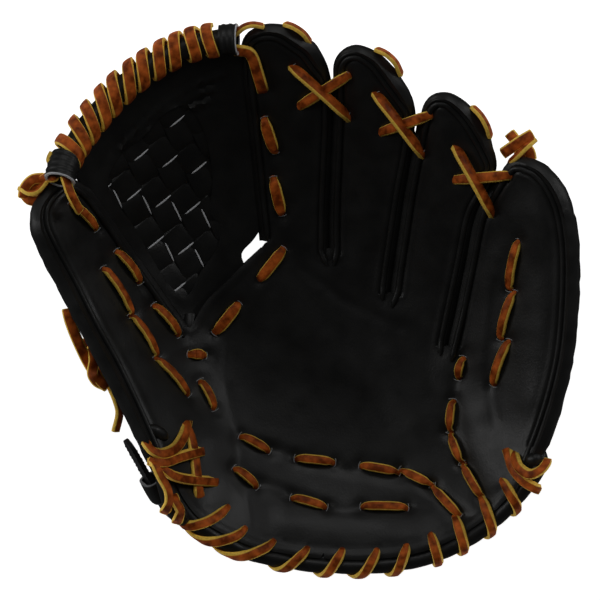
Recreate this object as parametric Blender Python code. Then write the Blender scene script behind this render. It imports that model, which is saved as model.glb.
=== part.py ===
"""Baseball fielder's glove, worn on the left hand, lying on its back with the palm up.

Axes: +X towards the little finger, +Y towards the fingertips, +Z out of the palm.
The origin is under the middle of the glove, on the surface that it lies on.
Plan dimensions below are in millimetres and are turned into metres when a mesh is made.
"""

import math

import bmesh
import bpy
import numpy as np
from mathutils import Vector, geometry

MM = 0.001

# Driving dimensions, in millimetres.
LEATHER = 2.4
GAP = 1.0
WELT = 2.2
WALL = 2.4
RIM_GAP = 0.7
LACE_WIDTH = 6.0
LACE_THICK = 2.0
LACE_OVER = 2.1
LACE_UNDER = 1.9
SLOT_ALONG = 2.5
SLOT_ACROSS = 4.2
PAD_TOP = -6.8
PAD_THICK = 4.8
LINING_THICK = 1.4
BAR_RADIUS = 5.6
PANEL_GRID = 13.0
STATIONS = 36

# Heights of the catching face: (x, y, height above the resting surface).
BOWL = [
    (-5, 132, 104), (-5, 100, 79), (-5, 60, 56), (-5, 20, 44), (-5, -20, 41), (-5, -60, 43),
    (-5, -100, 54), (-5, -135, 68), (33, 118, 103), (33, 80, 76), (33, 40, 57), (33, 0, 47),
    (33, -40, 44), (33, -80, 49), (33, -115, 60), (33, -138, 70), (65, 95, 101), (62, 55, 76),
    (62, 15, 60), (62, -25, 52), (62, -65, 52), (62, -100, 60), (62, -132, 72), (102, 62, 100),
    (100, 20, 82), (98, -20, 72), (98, -60, 69), (98, -100, 75), (135, 40, 112), (136, 0, 104),
    (130, -50, 96), (116, -85, 88), (-40, 20, 46), (-40, 60, 57), (-40, 100, 80), (-70, 40, 58),
    (-70, 80, 77), (-60, 118, 96), (-95, 92, 96), (-118, 65, 106), (-42, -20, 42), (-42, -60, 52),
    (-45, -95, 68), (-60, -10, 48), (-80, -10, 68), (-98, -10, 92), (-86, 20, 66), (-105, 25, 88),
    (-122, 30, 108), (-132, 45, 114), (-66, -45, 66), (-84, -45, 90), (-70, -76, 90), (-30, -122, 70),
]

# Silhouettes of the stalls, clockwise from one side of the base round the tip to the other:
# (x, y, distance from the silhouette in to the welt).
INDEX = [
    (-19, 30, 1.5), (-22, 60, 1.5), (-25, 90, 1.5), (-28, 115, 2), (-29, 127, 3), (-25.5, 133.5, 4),
    (-18, 137, 5), (-9, 137, 6), (0, 133, 7), (8, 127, 7), (13, 118, 6), (15.5, 108, 3),
    (15.5, 92, 1.5), (14.6, 70, 1.5), (13.6, 45, 1.5), (13.4, 23, 1.5),
]
MIDDLE = [
    (15.8, 23, 1.5), (15.8, 45, 1.5), (16.8, 70, 1.5), (17.6, 95, 1.5), (17, 110, 2), (18, 118, 3),
    (24, 124.5, 4), (32, 126, 5), (42, 122, 6), (50, 114, 7), (55.5, 103, 6), (57.5, 92, 3),
    (55.5, 77, 1.5), (51.5, 55, 1.5), (48.4, 35, 1.5), (45.5, 15, 1.5), (44, 3, 1.5),
]
RING = [
    (46.4, 3, 1.5), (48, 15, 1.5), (51, 35, 1.5), (54, 55, 1.5), (58, 77, 1.5), (60.2, 90, 2),
    (62, 97.5, 3), (67, 102.5, 4), (74, 103, 5), (82, 97, 6.5), (89.5, 86, 6.5), (94.5, 73, 5),
    (95.5, 64, 3), (92, 55, 1.5), (86, 42, 1.5), (81.5, 17, 1.5), (76.3, -8, 1.5), (73, -24, 1.5),
]
LITTLE = [
    (88, -102, 1.5), (82, -72, 1.5), (77, -45, 1.5), (75.6, -24, 1.5), (79, -8, 1.5),
    (84, 17, 1.5), (88.6, 42, 1.5), (94.5, 55, 1.5), (98.5, 63, 2), (103, 68.5, 3), (111, 71, 5),
    (121, 68, 6), (130, 59, 7), (136, 45, 7), (139, 25, 7), (139, 0, 7), (137, -25, 7),
    (133, -45, 7), (127, -65, 7), (119, -83, 6), (110, -98, 4),
]
THUMB = [
    (-53, -105, 3), (-65, -88, 4), (-75, -72, 6), (-86, -56, 7), (-98, -37, 7.5), (-109, -17, 7.5),
    (-119, 3, 7.5), (-129, 22, 7.5), (-134, 35, 7), (-133, 46, 6), (-128, 54, 5), (-121, 59, 4),
    (-113, 60, 3), (-106, 55, 2), (-98, 44, 1.5), (-85, 25, 1.5), (-67.5, 0, 1.5), (-56, -17, 1.5),
    (-47, -40, 1.5), (-40, -68, 1.5), (-34, -97, 1.5),
]
# Depth of each stall from the catching face to the back, from its base to its tip.
FINGER_DEPTH = (43, 38, 33, 29, 25, 22)
LITTLE_DEPTH = (60, 52, 44, 38, 31, 25)
THUMB_DEPTH = (56, 50, 44, 38, 30, 24)

# The middle of the plan, which becomes the origin.
CENTRE = (1.91, -1.48)

# Heel binding, and how far out a lace goes to pass round it.
ROLL_OUT = 4.2
ROLL_RADIUS = 3.1
HEEL_REACH = 9.1

# The end of the wrist strap, from where it enters its keeper to the tip.
STRAP_TIP = ((-66, -108, 52), (-87, -70, 70))
STRAP_ACROSS = (0.3, 0.17, 0.9)

# The two folds: lines across the palm from its upper end to the heel.
THUMB_FOLD = ((-47.5, -1), (-22, -120))
LITTLE_FOLD = ((74.5, -30), (96, -108))
HEEL_EDGE = [(96, -108), (80, -117.5), (60, -125.5), (35, -129), (10, -128.5), (-8, -125.5), (-22, -120)]
PALM_TOP_EDGE = [(-47.5, -1), (-38, 8), (-28, 17), (-19, 25.5)]

# Lacing, as pairs of holes for each stitch over the face.
PALM_LACE_UPPER = [(-29, -69, -16, -76.5), (-4, -81, 17, -82), (30, -83, 45, -85),
                   (53, -88, 63.5, -93), (70, -97.5, 78, -104)]
PALM_LACE_LOWER = [(-26, -87, -17, -95), (-5, -98.5, 13.5, -103), (30.5, -103, 54, -103)]
HINGE_LACE = [(74, -50, 71, -63), (72.5, -70, 76.5, -80), (80, -86, 86, -95)]
WEB_BASE_LACE = [(-9, 25, -21, 9.5), (-30, -1, -39.5, -13)]
WEB_INDEX_LACE = [(-19.5, 119, -17, 106), (-17, 91, -13, 75), (-13, 61, -9, 44)]
TIP_LACE_INDEX = [(-3.5, 116.5, 25, 91), (26, 108, 3, 98)]
TIP_LACE_MIDDLE = [(38, 102.5, 67, 73), (70, 90, 42, 86)]
TIP_LACE_RING = [(78, 76, 101.5, 41.5), (108.5, 57.5, 80, 61)]
THUMB_WEB_LACE = [(-113, 47, -102.5, 33), (-92.5, 20, -82, 5), (-73, -8, -64, -21.5)]
THUMB_BASE_LACE = [(-50, -26, -56, -32), (-49, -42, -43.5, -55)]
THUMB_STALL_LACE = [(-98.5, 14, -88, -3), (-85, -10, -75.5, -24.5), (-72, -31.5, -61, -43.5)]
LITTLE_STALL_LACE = [(110, 29, 107.5, 8), (106.5, -0.5, 103.5, -17), (101.5, -25, 97, -41)]
HEEL_LACE = [(-12.5, -118), (5, -121.5), (21.5, -122.5), (39, -122), (54.5, -119), (67, -114.5),
             (81, -108.5)]
HEEL_LACE_THUMB = [(-28.5, -110), (-39.5, -103)]
HEEL_EDGE_THUMB = [(-23, -119.6), (-37, -113.5), (-47.5, -106)]

# Web: the frame's outline, the woven window in it, and the rolled bar on top.
WEB_FRAME = [
    (-22.8, 37), (-24, 60), (-27, 90), (-30, 112), (-34, 117), (-52, 114.5), (-66, 107.5),
    (-81, 96.5), (-93, 84), (-101.5, 70), (-103, 58), (-96, 48), (-83, 28.5), (-66, 4), (-60, -5),
    (-52, -3), (-41, 8), (-29, 20),
]
WEB_WINDOW = [(-34, 40), (-33, 98), (-58, 100), (-78, 88), (-92, 66), (-80, 38), (-62, 10), (-48, 8)]
WEAVE_ORIGIN = (-72, 50)
WEAVE_A = (6.9, 9.9)
WEAVE_B = (5.3, -11.4)
STRAP_WIDTH = 5.4
STRAP_THICK = 1.7
WEAVE_LIFT = 2.0
WEB_LEVEL = -5.0
BAR_PATH = [
    (-38, 127.5, 101), (-52, 125, 99), (-66, 118.5, 98), (-81, 108, 98), (-94, 95.5, 99),
    (-106, 81, 102), (-113, 70, 105),
]
BAR_TURNS = 11

BLACK = (0.018, 0.018, 0.017, 1)
INK = (0.03, 0.03, 0.032, 1)
TAN = (0.46, 0.12, 0.025, 1)
FELT = (0.62, 0.58, 0.5, 1)
LINING_TAN = (0.42, 0.25, 0.11, 1)
FLEECE = (0.75, 0.68, 0.55, 1)
PLASTIC = (0.7, 0.7, 0.68, 1)


# ---------------------------------------------------------------- curves and surfaces

def spline(points, count):
    """A smooth curve through the points, at count places spaced evenly by length."""
    p = np.asarray(points, float)
    ends = np.vstack([2 * p[0] - p[1], p, 2 * p[-1] - p[-2]])
    t = np.linspace(0, 1, 12, endpoint=False)[:, None]
    pieces = []
    for a, b, c, d in zip(ends, ends[1:], ends[2:], ends[3:]):
        pieces.append(0.5 * (2 * b + (c - a) * t + (2 * a - 5 * b + 4 * c - d) * t**2
                             + (3 * b - 3 * c + d - a) * t**3))
    fine = np.vstack([*pieces, p[-1:]])
    along = np.r_[0, np.cumsum(np.linalg.norm(np.diff(fine[:, :2], axis=0), axis=1))]
    want = np.linspace(0, along[-1], count)
    return np.column_stack([np.interp(want, along, fine[:, k]) for k in range(p.shape[1])])


def plate_kernel(r2):
    return 0.5 * r2 * np.log(np.maximum(r2, 1e-9))


def fit_bowl():
    """A thin plate bent through the heights in BOWL."""
    p = np.array(BOWL, float)
    n = len(p)
    r2 = ((p[:, None, :2] - p[None, :, :2]) ** 2).sum(-1)
    line = np.column_stack([np.ones(n), p[:, :2]])
    system = np.zeros((n + 3, n + 3))
    system[:n, :n] = plate_kernel(r2) + 60.0 * np.eye(n)
    system[:n, n:] = line
    system[n:, :n] = line.T
    return p, np.linalg.solve(system, np.r_[p[:, 2], 0, 0, 0])


BOWL_POINTS, BOWL_WEIGHTS = fit_bowl()


def bowl(x, y):
    """Height of the catching face at plan positions x, y."""
    x, y = np.broadcast_arrays(np.asarray(x, float), np.asarray(y, float))
    r2 = (x[..., None] - BOWL_POINTS[:, 0]) ** 2 + (y[..., None] - BOWL_POINTS[:, 1]) ** 2
    w = BOWL_WEIGHTS
    return plate_kernel(r2) @ w[:-3] + w[-3] + w[-2] * x + w[-1] * y


def steepness(x, y):
    """How much longer the face is than its plan at x, y."""
    east, north = bowl(x + 1, y) - bowl(x - 1, y), bowl(x, y + 1) - bowl(x, y - 1)
    return np.sqrt(1 + (east / 2) ** 2 + (north / 2) ** 2)


def inward(outline):
    """Unit normals of an open outline that runs clockwise round what it encloses."""
    d = np.gradient(outline[:, :2], axis=0)
    d /= np.linalg.norm(d, axis=1)[:, None]
    return np.column_stack([d[:, 1], -d[:, 0]])


def stall_line(stall, inset):
    """The stall's silhouette moved in to its welt and then by inset."""
    u = spline(stall, STATIONS)
    return u[:, :2] + inward(u) * (u[:, 2:3] + inset)


# ---------------------------------------------------------------- meshes

def new_object(name, points, faces, colour, roughness=0.5, metallic=0.0):
    """One closed mesh, given in millimetres, as a named object with its own material."""
    mesh = bpy.data.meshes.new(name)
    placed = (np.array(points, float) - (*CENTRE, 0)) * MM
    mesh.from_pydata(placed.tolist(), [], faces)
    bm = bmesh.new()
    bm.from_mesh(mesh)
    bmesh.ops.recalc_face_normals(bm, faces=bm.faces)
    bm.to_mesh(mesh)
    bm.free()
    material = bpy.data.materials.new(name)
    material.use_nodes = True
    shader = material.node_tree.nodes["Principled BSDF"]
    shader.inputs["Base Color"].default_value = colour
    shader.inputs["Roughness"].default_value = roughness
    shader.inputs["Metallic"].default_value = metallic
    mesh.materials.append(material)
    mesh.shade_smooth()
    mesh.set_sharp_from_angle(angle=math.radians(40))
    obj = bpy.data.objects.new(name, mesh)
    bpy.context.scene.collection.objects.link(obj)
    return obj


def inside(points, loop):
    """Which points lie inside a closed loop."""
    x, y = points[:, 0][:, None], points[:, 1][:, None]
    a, b = np.asarray(loop), np.roll(loop, -1, axis=0)
    crosses = (a[:, 1] > y) != (b[:, 1] > y)
    at = (b[:, 0] - a[:, 0]) * (y - a[:, 1]) / np.where(b[:, 1] == a[:, 1], 1e-9, b[:, 1] - a[:, 1])
    return (crosses & (x < a[:, 0] + at)).sum(1) % 2 == 1


def distance_to(points, loop):
    """Distance from each point to a closed loop."""
    a, b = np.asarray(loop), np.roll(loop, -1, axis=0)
    d = b - a
    rel = points[:, None] - a
    t = np.clip((rel * d).sum(-1) / np.maximum((d * d).sum(-1), 1e-9), 0, 1)
    return np.linalg.norm(rel - t[..., None] * d, axis=-1).min(1)


def fill(outline, holes, grid):
    """Plan points and triangles that fill the outline and leave out the holes."""
    loops = [np.asarray(outline, float)[:, :2], *[np.asarray(h, float) for h in holes]]
    lo, hi = loops[0].min(0), loops[0].max(0)
    xs, ys = np.meshgrid(np.arange(lo[0], hi[0], grid), np.arange(lo[1], hi[1], grid * 0.866))
    xs = xs + (np.arange(len(xs)) % 2)[:, None] * grid / 2
    spots = np.column_stack([xs.ravel(), ys.ravel()])
    spots = spots[inside(spots, loops[0])]
    for loop, margin in zip(loops, [0.45] + [0.3] * len(holes)):
        spots = spots[distance_to(spots, loop) > margin * grid]
        if loop is not loops[0]:
            spots = spots[~inside(spots, loop)]
    points, edges = [], []
    for loop in loops:
        first = len(points)
        points += [Vector(p) for p in loop]
        edges += [(first + k, first + (k + 1) % len(loop)) for k in range(len(loop))]
    points += [Vector(p) for p in spots]
    made = geometry.delaunay_2d_cdt(points, edges, [], 0, 1e-5)
    flat = np.array([tuple(p) for p in made[0]])
    triangles = np.array(made[2])
    centres = flat[triangles].mean(1)
    keep = inside(centres, loops[0])
    for loop in loops[1:]:
        keep &= ~inside(centres, loop)
    return flat, triangles[keep]


def slab(name, outline, top, bottom, colour, holes=(), grid=PANEL_GRID, roughness=0.5):
    """A closed sheet over a plan outline, between two heights given as functions of x, y."""
    flat, triangles = fill(outline, holes, grid)
    used, triangles = np.unique(triangles, return_inverse=True)
    triangles = triangles.reshape(-1, 3)
    flat = flat[used]
    n = len(flat)
    x, y = flat[:, 0], flat[:, 1]
    points = np.vstack([np.column_stack([x, y, top(x, y) + 0 * x]),
                        np.column_stack([x, y, bottom(x, y) + 0 * x])])
    faces = [tuple(t) for t in triangles] + [tuple(t[::-1] + n) for t in triangles]
    directed = {(t[k], t[(k + 1) % 3]) for t in triangles.tolist() for k in range(3)}
    faces += [(b, a, a + n, b + n) for a, b in sorted(directed) if (b, a) not in directed]
    return new_object(name, points, faces, colour, roughness)


def level(offset):
    """A height function that follows the catching face at a distance."""
    return lambda x, y: bowl(x, y) + offset


def sunk(offset):
    """A height function at a distance below the catching face, measured square to it."""
    return lambda x, y: bowl(x, y) + offset * steepness(x, y)


def flat_at(z):
    return lambda x, y: np.full_like(np.asarray(x, float), z)


def sweep(name, path, across, section, colour, roughness=0.5):
    """A section swept along a path. across holds each station's sideways direction."""
    path, across = np.asarray(path, float), np.asarray(across, float)
    steps = np.diff(path, axis=0)
    steps /= np.linalg.norm(steps, axis=1)[:, None]
    before, after = np.vstack([steps[:1], steps]), np.vstack([steps, steps[-1:]])
    along = before + after
    along /= np.linalg.norm(along, axis=1)[:, None]
    stretch = 1 / np.clip((along * after).sum(1), 0.5, 1)
    side = across - along * (across * along).sum(1)[:, None]
    side /= np.linalg.norm(side, axis=1)[:, None]
    up = np.cross(side, along)
    n = len(section)
    points = [p + s * u + t * k * v for p, s, t, k in zip(path, side, up, stretch) for u, v in section]
    faces = [tuple(range(n)), tuple(range(len(points) - n, len(points)))]
    for i in range(len(path) - 1):
        for j in range(n):
            faces.append((i * n + j, i * n + (j + 1) % n, (i + 1) * n + (j + 1) % n, (i + 1) * n + j))
    return new_object(name, points, faces, colour, roughness)


def rectangle(width, thick):
    w, t = width / 2, thick / 2
    return [(-w, -t), (w, -t), (w, t), (-w, t)]


def round_section(radius, sides=8):
    turns = [2 * math.pi * k / sides for k in range(sides)]
    return [(radius * math.cos(a), radius * math.sin(a)) for a in turns]


def sideways(direction):
    """The level direction at right angles to a plan direction."""
    d = np.asarray(direction, float)[:2]
    d = d / np.linalg.norm(d)
    return np.array([-d[1], d[0], 0.0])


def slope(x, y, direction):
    """How fast the catching face rises at x, y in a level direction."""
    dx, dy = direction[0], direction[1]
    return float(bowl(x + dx, y + dy) - bowl(x - dx, y - dy)) / 2


def leaning(x, y, direction):
    """The direction across a plan direction that lies in the catching face."""
    side = sideways(direction)
    side[2] = slope(x, y, side)
    return side


def off(x, y, distance, below=0.0):
    """Height at a distance from the face, measured square to it, below a vertical drop."""
    return float(bowl(x, y) - below + distance * steepness(x, y))


# ---------------------------------------------------------------- stalls, welts and laces

def stall(name, outline, depths, open_first=0, open_last=0):
    """A finger's back and sides as one channel, open towards the palm and at its base.

    The first or last few stations have no side wall, where the stall opens into the hand.
    """
    pairs = STATIONS // 2
    u = spline(outline, STATIONS)
    normal = inward(u)
    rows = {k: u[:, :2] + normal * (u[:, 2:3] * (k > 0) + d)
            for k, d in ((0, 0.0), (1, 0.0), (2, WALL), (3, WALL + 0.4))}
    foot = u[:, :2] + normal * 3.6
    pair = np.minimum(np.arange(2 * pairs), np.arange(2 * pairs)[::-1])
    deep = np.interp(np.linspace(0, 1, pairs), np.linspace(0, 1, len(depths)), depths)
    other = np.arange(2 * pairs)[::-1]
    middle = (rows[3] + rows[3][other]) / 2
    middle[pairs - 1] = middle[pairs] = (middle[pairs - 1] + middle[pairs - 2]) / 2
    back = np.maximum(bowl(middle[:, 0], middle[:, 1]) - deep[pair], 0.0)
    rims = [bowl(*rows[k].T) - (LEATHER + RIM_GAP) * steepness(*rows[k].T) for k in (1, 2)]
    station = np.arange(2 * pairs)
    opened = (station < open_first) | (station >= 2 * pairs - open_last)
    side = np.where(opened, back + 1.2, np.minimum(back + 8, rims[0] - 2))
    rims = [np.where(opened, back + WALL, rim) for rim in rims]
    columns = [
        np.column_stack([foot, back + 0.8 * (back > 0)]),
        np.column_stack([rows[0], side]),
        np.column_stack([rows[1], rims[0]]),
        np.column_stack([rows[2], rims[1]]),
        np.column_stack([rows[3], back + WALL]),
    ]
    points = [tuple(c) for column in columns for c in column]
    m = 2 * pairs
    centre_top = len(points)
    points += [(*middle[k], back[k] + WALL) for k in range(pairs)]
    centre_low = len(points)
    points += [(*middle[k], back[k]) for k in range(pairs)]
    faces = []
    for k in range(m - 1):
        for row in range(4):
            faces.append((row * m + k, row * m + k + 1, (row + 1) * m + k + 1, (row + 1) * m + k))
        p, q = pair[k], pair[k + 1]
        for ring, centre in ((4 * m, centre_top), (0, centre_low)):
            corners = [ring + k, ring + k + 1, centre + q] + ([centre + p] if p != q else [])
            faces.append(tuple(corners))
    ends = [row * m for row in range(5)] + [centre_top]
    ends += [row * m + m - 1 for row in range(4, -1, -1)] + [centre_low]
    faces.append(tuple(ends))
    return new_object(name, points, faces, BLACK)


def welt(name, outline, first=0, last=None):
    """The strip of leather sewn between a stall's front and its side."""
    u = spline(outline, STATIONS)
    line = (u[:, :2] + inward(u) * (u[:, 2:3] + WELT / 2 + 0.1))[first:last]
    path = [(*p, off(*p, -LEATHER / 2 - 0.1)) for p in line]
    across = [leaning(*p, d) for p, d in zip(line, np.gradient(line, axis=0))]
    return sweep(name, path, across, rectangle(WELT, LEATHER), BLACK)


def slots(stitches):
    """The holes that a lace goes through, as four-cornered outlines."""
    made = []
    for x0, y0, x1, y1 in stitches:
        along = np.array([x1 - x0, y1 - y0]) / math.hypot(x1 - x0, y1 - y0)
        across = np.array([-along[1], along[0]])
        for centre in (np.array([x0, y0]), np.array([x1, y1])):
            made.append([centre + along * SLOT_ALONG * i + across * SLOT_ACROSS * j
                         for i, j in ((-1, -1), (1, -1), (1, 1), (-1, 1))])
    return made


def running_lace(name, stitches, lifts=None, colour=TAN):
    """One lace that runs over the face for each stitch and under it in between."""
    path, across = [], []
    for number, (x0, y0, x1, y1) in enumerate(stitches):
        rise = lifts[number] if lifts else 0.0
        mx, my = (x0 + x1) / 2, (y0 + y1) / 2
        ends = [off(x, y, LACE_OVER) for x, y in ((x0, y0), (x1, y1))]
        high = max(off(mx, my, LACE_OVER), sum(ends) / 2 - 0.5) + rise
        path += [(x0, y0, off(x0, y0, -LACE_UNDER, LEATHER)), (x0, y0, ends[0]), (mx, my, high),
                 (x1, y1, ends[1]), (x1, y1, off(x1, y1, -LACE_UNDER, LEATHER))]
        along = (x1 - x0, y1 - y0)
        across += [leaning(p[0], p[1], along) for p in path[-5:]]
        if number + 1 < len(stitches):
            nx, ny = stitches[number + 1][:2]
            bx, by = (x1 + nx) / 2, (y1 + ny) / 2
            path.append((bx, by, off(bx, by, -LACE_UNDER - 0.8, LEATHER)))
            across.append(leaning(bx, by, (nx - x1, ny - y1)))
            if np.dot(across[-1], across[-2]) < 0:
                across[-1] = -across[-1]
    return sweep(name, path, across, rectangle(LACE_WIDTH, LACE_THICK), colour)


def edge_points(holes, edge, reach):
    """For each hole, the nearest place on the edge and the point beyond it by reach."""
    edge = spline(edge, 80)
    out = -inward(edge)
    nearest = [int(np.argmin(np.hypot(edge[:, 0] - x, edge[:, 1] - y))) for x, y in holes]
    return [(edge[k, :2], edge[k, :2] + out[k] * reach) for k in nearest]


def edge_lace(name, holes, edge, reach, colour=TAN):
    """One lace wound round an edge through a row of holes."""
    path, across = [], []
    for (x, y), (at, beyond) in zip(holes, edge_points(holes, edge, reach)):
        z_in, z_out = off(x, y, LACE_OVER), off(*at, LACE_OVER)
        path += [(x, y, z_in - 9.2), (x, y, z_in), (*at, z_out + 0.3), (*beyond, z_out + 0.1),
                 (*beyond, z_out - 10)]
        across += [leaning(x, y, beyond - (x, y))] * 5
    return sweep(name, path, across, rectangle(LACE_WIDTH, LACE_THICK), colour)


def edge_slots(holes, edge, reach):
    """The holes that an edge lace goes through, as four-cornered outlines."""
    ends = edge_points(holes, edge, reach)
    return slots([(*hole, *beyond) for hole, (_, beyond) in zip(holes, ends)])[::2]


def knot(name, centre, size, turn, colour=TAN):
    """A pulled-tight lace knot: a rounded block."""
    bm = bmesh.new()
    bmesh.ops.create_cube(bm, size=1)
    bmesh.ops.scale(bm, vec=Vector(size) * MM, verts=bm.verts)
    bmesh.ops.bevel(bm, geom=bm.edges[:], offset=min(size) * 0.28 * MM, segments=1, affect="EDGES")
    mesh_points = [tuple(v.co / MM) for v in bm.verts]
    bm.verts.ensure_lookup_table()
    faces = [tuple(v.index for v in f.verts) for f in bm.faces]
    bm.free()
    c, s = math.cos(turn), math.sin(turn)
    placed = [(centre[0] + x * c - y * s, centre[1] + x * s + y * c, centre[2] + z)
              for x, y, z in mesh_points]
    return new_object(name, placed, faces, colour)


def extended(line, reach=1.2):
    """A line made longer at both ends."""
    first, last = line[0] - line[1], line[-1] - line[-2]
    return np.vstack([line[0] + first / np.linalg.norm(first) * reach, line,
                      line[-1] + last / np.linalg.norm(last) * reach])


def strip(line, width):
    """The closed outline of a strip between a line and its copy moved inward."""
    line = np.asarray(line, float)
    return np.vstack([line, (line + inward(line) * width)[::-1]])


# ---------------------------------------------------------------- palm

def build_palm():
    inset = WELT + GAP
    fingers = [extended(stall_line(s, inset)) for s in (INDEX, MIDDLE, RING)]
    outline = np.vstack([
        spline(PALM_TOP_EDGE, 5), *fingers, spline(LITTLE_FOLD, 8) - (0.4, 0),
        spline(HEEL_EDGE, 16)[1:-1], spline(THUMB_FOLD, 11)[::-1][:-1] + (0.4, 0),
    ])
    stitches = (PALM_LACE_UPPER + PALM_LACE_LOWER + HINGE_LACE + WEB_BASE_LACE + WEB_INDEX_LACE
                + TIP_LACE_INDEX + TIP_LACE_MIDDLE)
    holes = slots(stitches) + edge_slots(HEEL_LACE, HEEL_EDGE, HEEL_REACH)
    holes += slots(TIP_LACE_RING)[:1] + slots(TIP_LACE_RING)[3:]
    slab("palm_leather", outline, level(0), level(-LEATHER), BLACK, holes)

    pad = [(-30, -22), (-12, 12), (12, 14), (40, -2), (62, -24), (66, -50), (74, -92), (62, -110),
           (30, -114), (0, -112), (-16, -106), (-24, -60)]
    slab("palm_pad", pad, sunk(PAD_TOP), sunk(PAD_TOP - PAD_THICK), FELT)
    lining = [(-32, -16), (-10, 15), (12, 17), (42, 1), (66, -24), (70, -55), (76, -90), (62, -112),
              (30, -117), (0, -115), (-18, -110), (-26, -60)]
    under = PAD_TOP - PAD_THICK - 0.9
    slab("palm_lining", lining, sunk(under), sunk(under - LINING_THICK), LINING_TAN)

    running_lace("palm_lace_upper", PALM_LACE_UPPER)
    running_lace("palm_lace_lower", PALM_LACE_LOWER)
    running_lace("little_hinge_lace", HINGE_LACE)
    running_lace("web_base_lace", WEB_BASE_LACE)
    running_lace("web_index_lace", WEB_INDEX_LACE)
    edge_lace("heel_lace", HEEL_LACE, HEEL_EDGE, HEEL_REACH)


def build_fingers():
    for name, outline in (("index", INDEX), ("middle", MIDDLE), ("ring", RING)):
        stall(name + "_stall", outline, FINGER_DEPTH)
        welt(name + "_welt", outline)
    running_lace("index_tip_lace", TIP_LACE_INDEX, (0.0, 3.0))
    running_lace("middle_tip_lace", TIP_LACE_MIDDLE, (0.0, 3.0))
    running_lace("ring_tip_lace", TIP_LACE_RING, (0.0, 3.0))


def roll(name, edge, count):
    """The rolled binding that runs outside an edge of the heel."""
    edge = spline(edge, count)
    line = edge - inward(edge) * ROLL_OUT
    path = np.column_stack([line, bowl(edge[:, 0], edge[:, 1]) - 3.0])
    across = [sideways(d) for d in np.gradient(line, axis=0)]
    sweep(name, path, across, round_section(ROLL_RADIUS), BLACK)


def build_heel():
    roll("heel_roll", spline(HEEL_EDGE, 16)[1:-1], 14)
    roll("heel_roll_thumb", HEEL_EDGE_THUMB, 5)


# ---------------------------------------------------------------- back of the hand

def build_back():
    back = [(-16, 26), (12, 20), (42, 0), (70, -27), (74, -40), (76, -66), (30, -70), (-22, -68),
            (-34, -40), (-40, -10), (-32, 8)]
    slab("back_of_hand", back, flat_at(LEATHER), flat_at(0), BLACK)
    edge = spline(PALM_TOP_EDGE, 5) + (1.2, -1.2)
    slab("crotch_gusset", strip(edge, LEATHER), level(-LEATHER - 0.7), flat_at(LEATHER + 0.4), BLACK)
    path = [(80, -84, 5), (66, -88, 1.8), (20, -91, 1.8), (-16, -92, 1.8), (-30, -93, 7)]
    sweep("wrist_strap", path, [(0, 1, 0)] * 5, rectangle(28, 2.6), BLACK)
    pad = [(-10, -80), (54, -78), (54, -98), (-10, -102)]
    slab("wrist_strap_pad", pad, flat_at(7.6), flat_at(3.7), FLEECE)


def box_along(name, start, end, across, width, thick, colour, roughness=0.5):
    start, end = np.array(start, float), np.array(end, float)
    path = [start + (end - start) * t for t in (0, 0.5, 1)]
    return sweep(name, path, [across] * 3, rectangle(width, thick), colour, roughness)


def build_strap_tip():
    start, end = np.array(STRAP_TIP[0], float), np.array(STRAP_TIP[1], float)
    box_along("wrist_strap_tip", start, end, STRAP_ACROSS, 13, 2.4, INK)
    along = (end - start) / np.linalg.norm(end - start)
    side = np.array(STRAP_ACROSS) - along * np.dot(STRAP_ACROSS, along)
    side /= np.linalg.norm(side)
    up = np.cross(side, along)
    centre = start + (end - start) * 0.42
    ring = []
    for half in (-5.5, 5.5):
        for w, t in ((7.1, 2.0), (9.3, 4.0)):
            ring += [centre + along * half + side * w * i + up * t * j
                     for i, j in ((-1, -1), (1, -1), (1, 1), (-1, 1))]
    faces = []
    for j in range(4):
        k = (j + 1) % 4
        faces += [(j, k, 4 + k, 4 + j), (8 + j, 8 + k, 12 + k, 12 + j),
                  (j, k, 8 + k, 8 + j), (4 + j, 4 + k, 12 + k, 12 + j)]
    new_object("strap_keeper", ring, faces, BLACK)


# ---------------------------------------------------------------- thumb

def build_thumb():
    line = stall_line(THUMB, WELT + GAP)
    cut = int(np.argmax((line[:, 1] < -13) & (np.arange(len(line)) > len(line) // 2)))
    outline = np.vstack([line[:cut], [(-57.5, -13)], spline(THUMB_FOLD, 11)[:-1] - (0.4, 0),
                         spline(HEEL_EDGE_THUMB, 5)])
    stitches = THUMB_WEB_LACE + THUMB_BASE_LACE + THUMB_STALL_LACE
    holes = slots(stitches) + edge_slots(HEEL_LACE_THUMB, HEEL_EDGE_THUMB, HEEL_REACH)
    slab("thumb_leather", outline, level(0), level(-LEATHER), BLACK, holes, 9.5)
    stall("thumb_stall", THUMB, THUMB_DEPTH, open_last=8)
    welt("thumb_welt", THUMB, last=27)
    running_lace("thumb_web_lace", THUMB_WEB_LACE)
    running_lace("thumb_base_lace", THUMB_BASE_LACE)
    running_lace("thumb_stall_lace", THUMB_STALL_LACE)
    edge_lace("heel_lace_thumb", HEEL_LACE_THUMB, HEEL_EDGE_THUMB, HEEL_REACH)
    pad = [(-40, -90), (-45, -66), (-52, -46), (-60, -40), (-68, -48), (-61, -66), (-50, -86)]
    slab("thumb_pad", pad, sunk(PAD_TOP), sunk(PAD_TOP - PAD_THICK), FELT)
    stiffener("thumb_stiffener", THUMB, 5, 17)
    finger_loop("thumb_loop", (-69, -38, 40), (-0.52, 0.85), 9, 8)
    knot("thumb_tip_knot", (-130.5, 61, 98), (9, 9, 8), 0.6)
    tail = [(-115.5, -9, 67), (-118, -16, 70), (-117, -26, 69), (-110.5, -35, 65), (-103, -42, 61),
            (-95, -52, 58), (-89, -64, 55)]
    sweep("thumb_back_lace", tail, [(-0.6, -0.35, 0.7)] * 7, rectangle(LACE_WIDTH, LACE_THICK), TAN)


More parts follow.
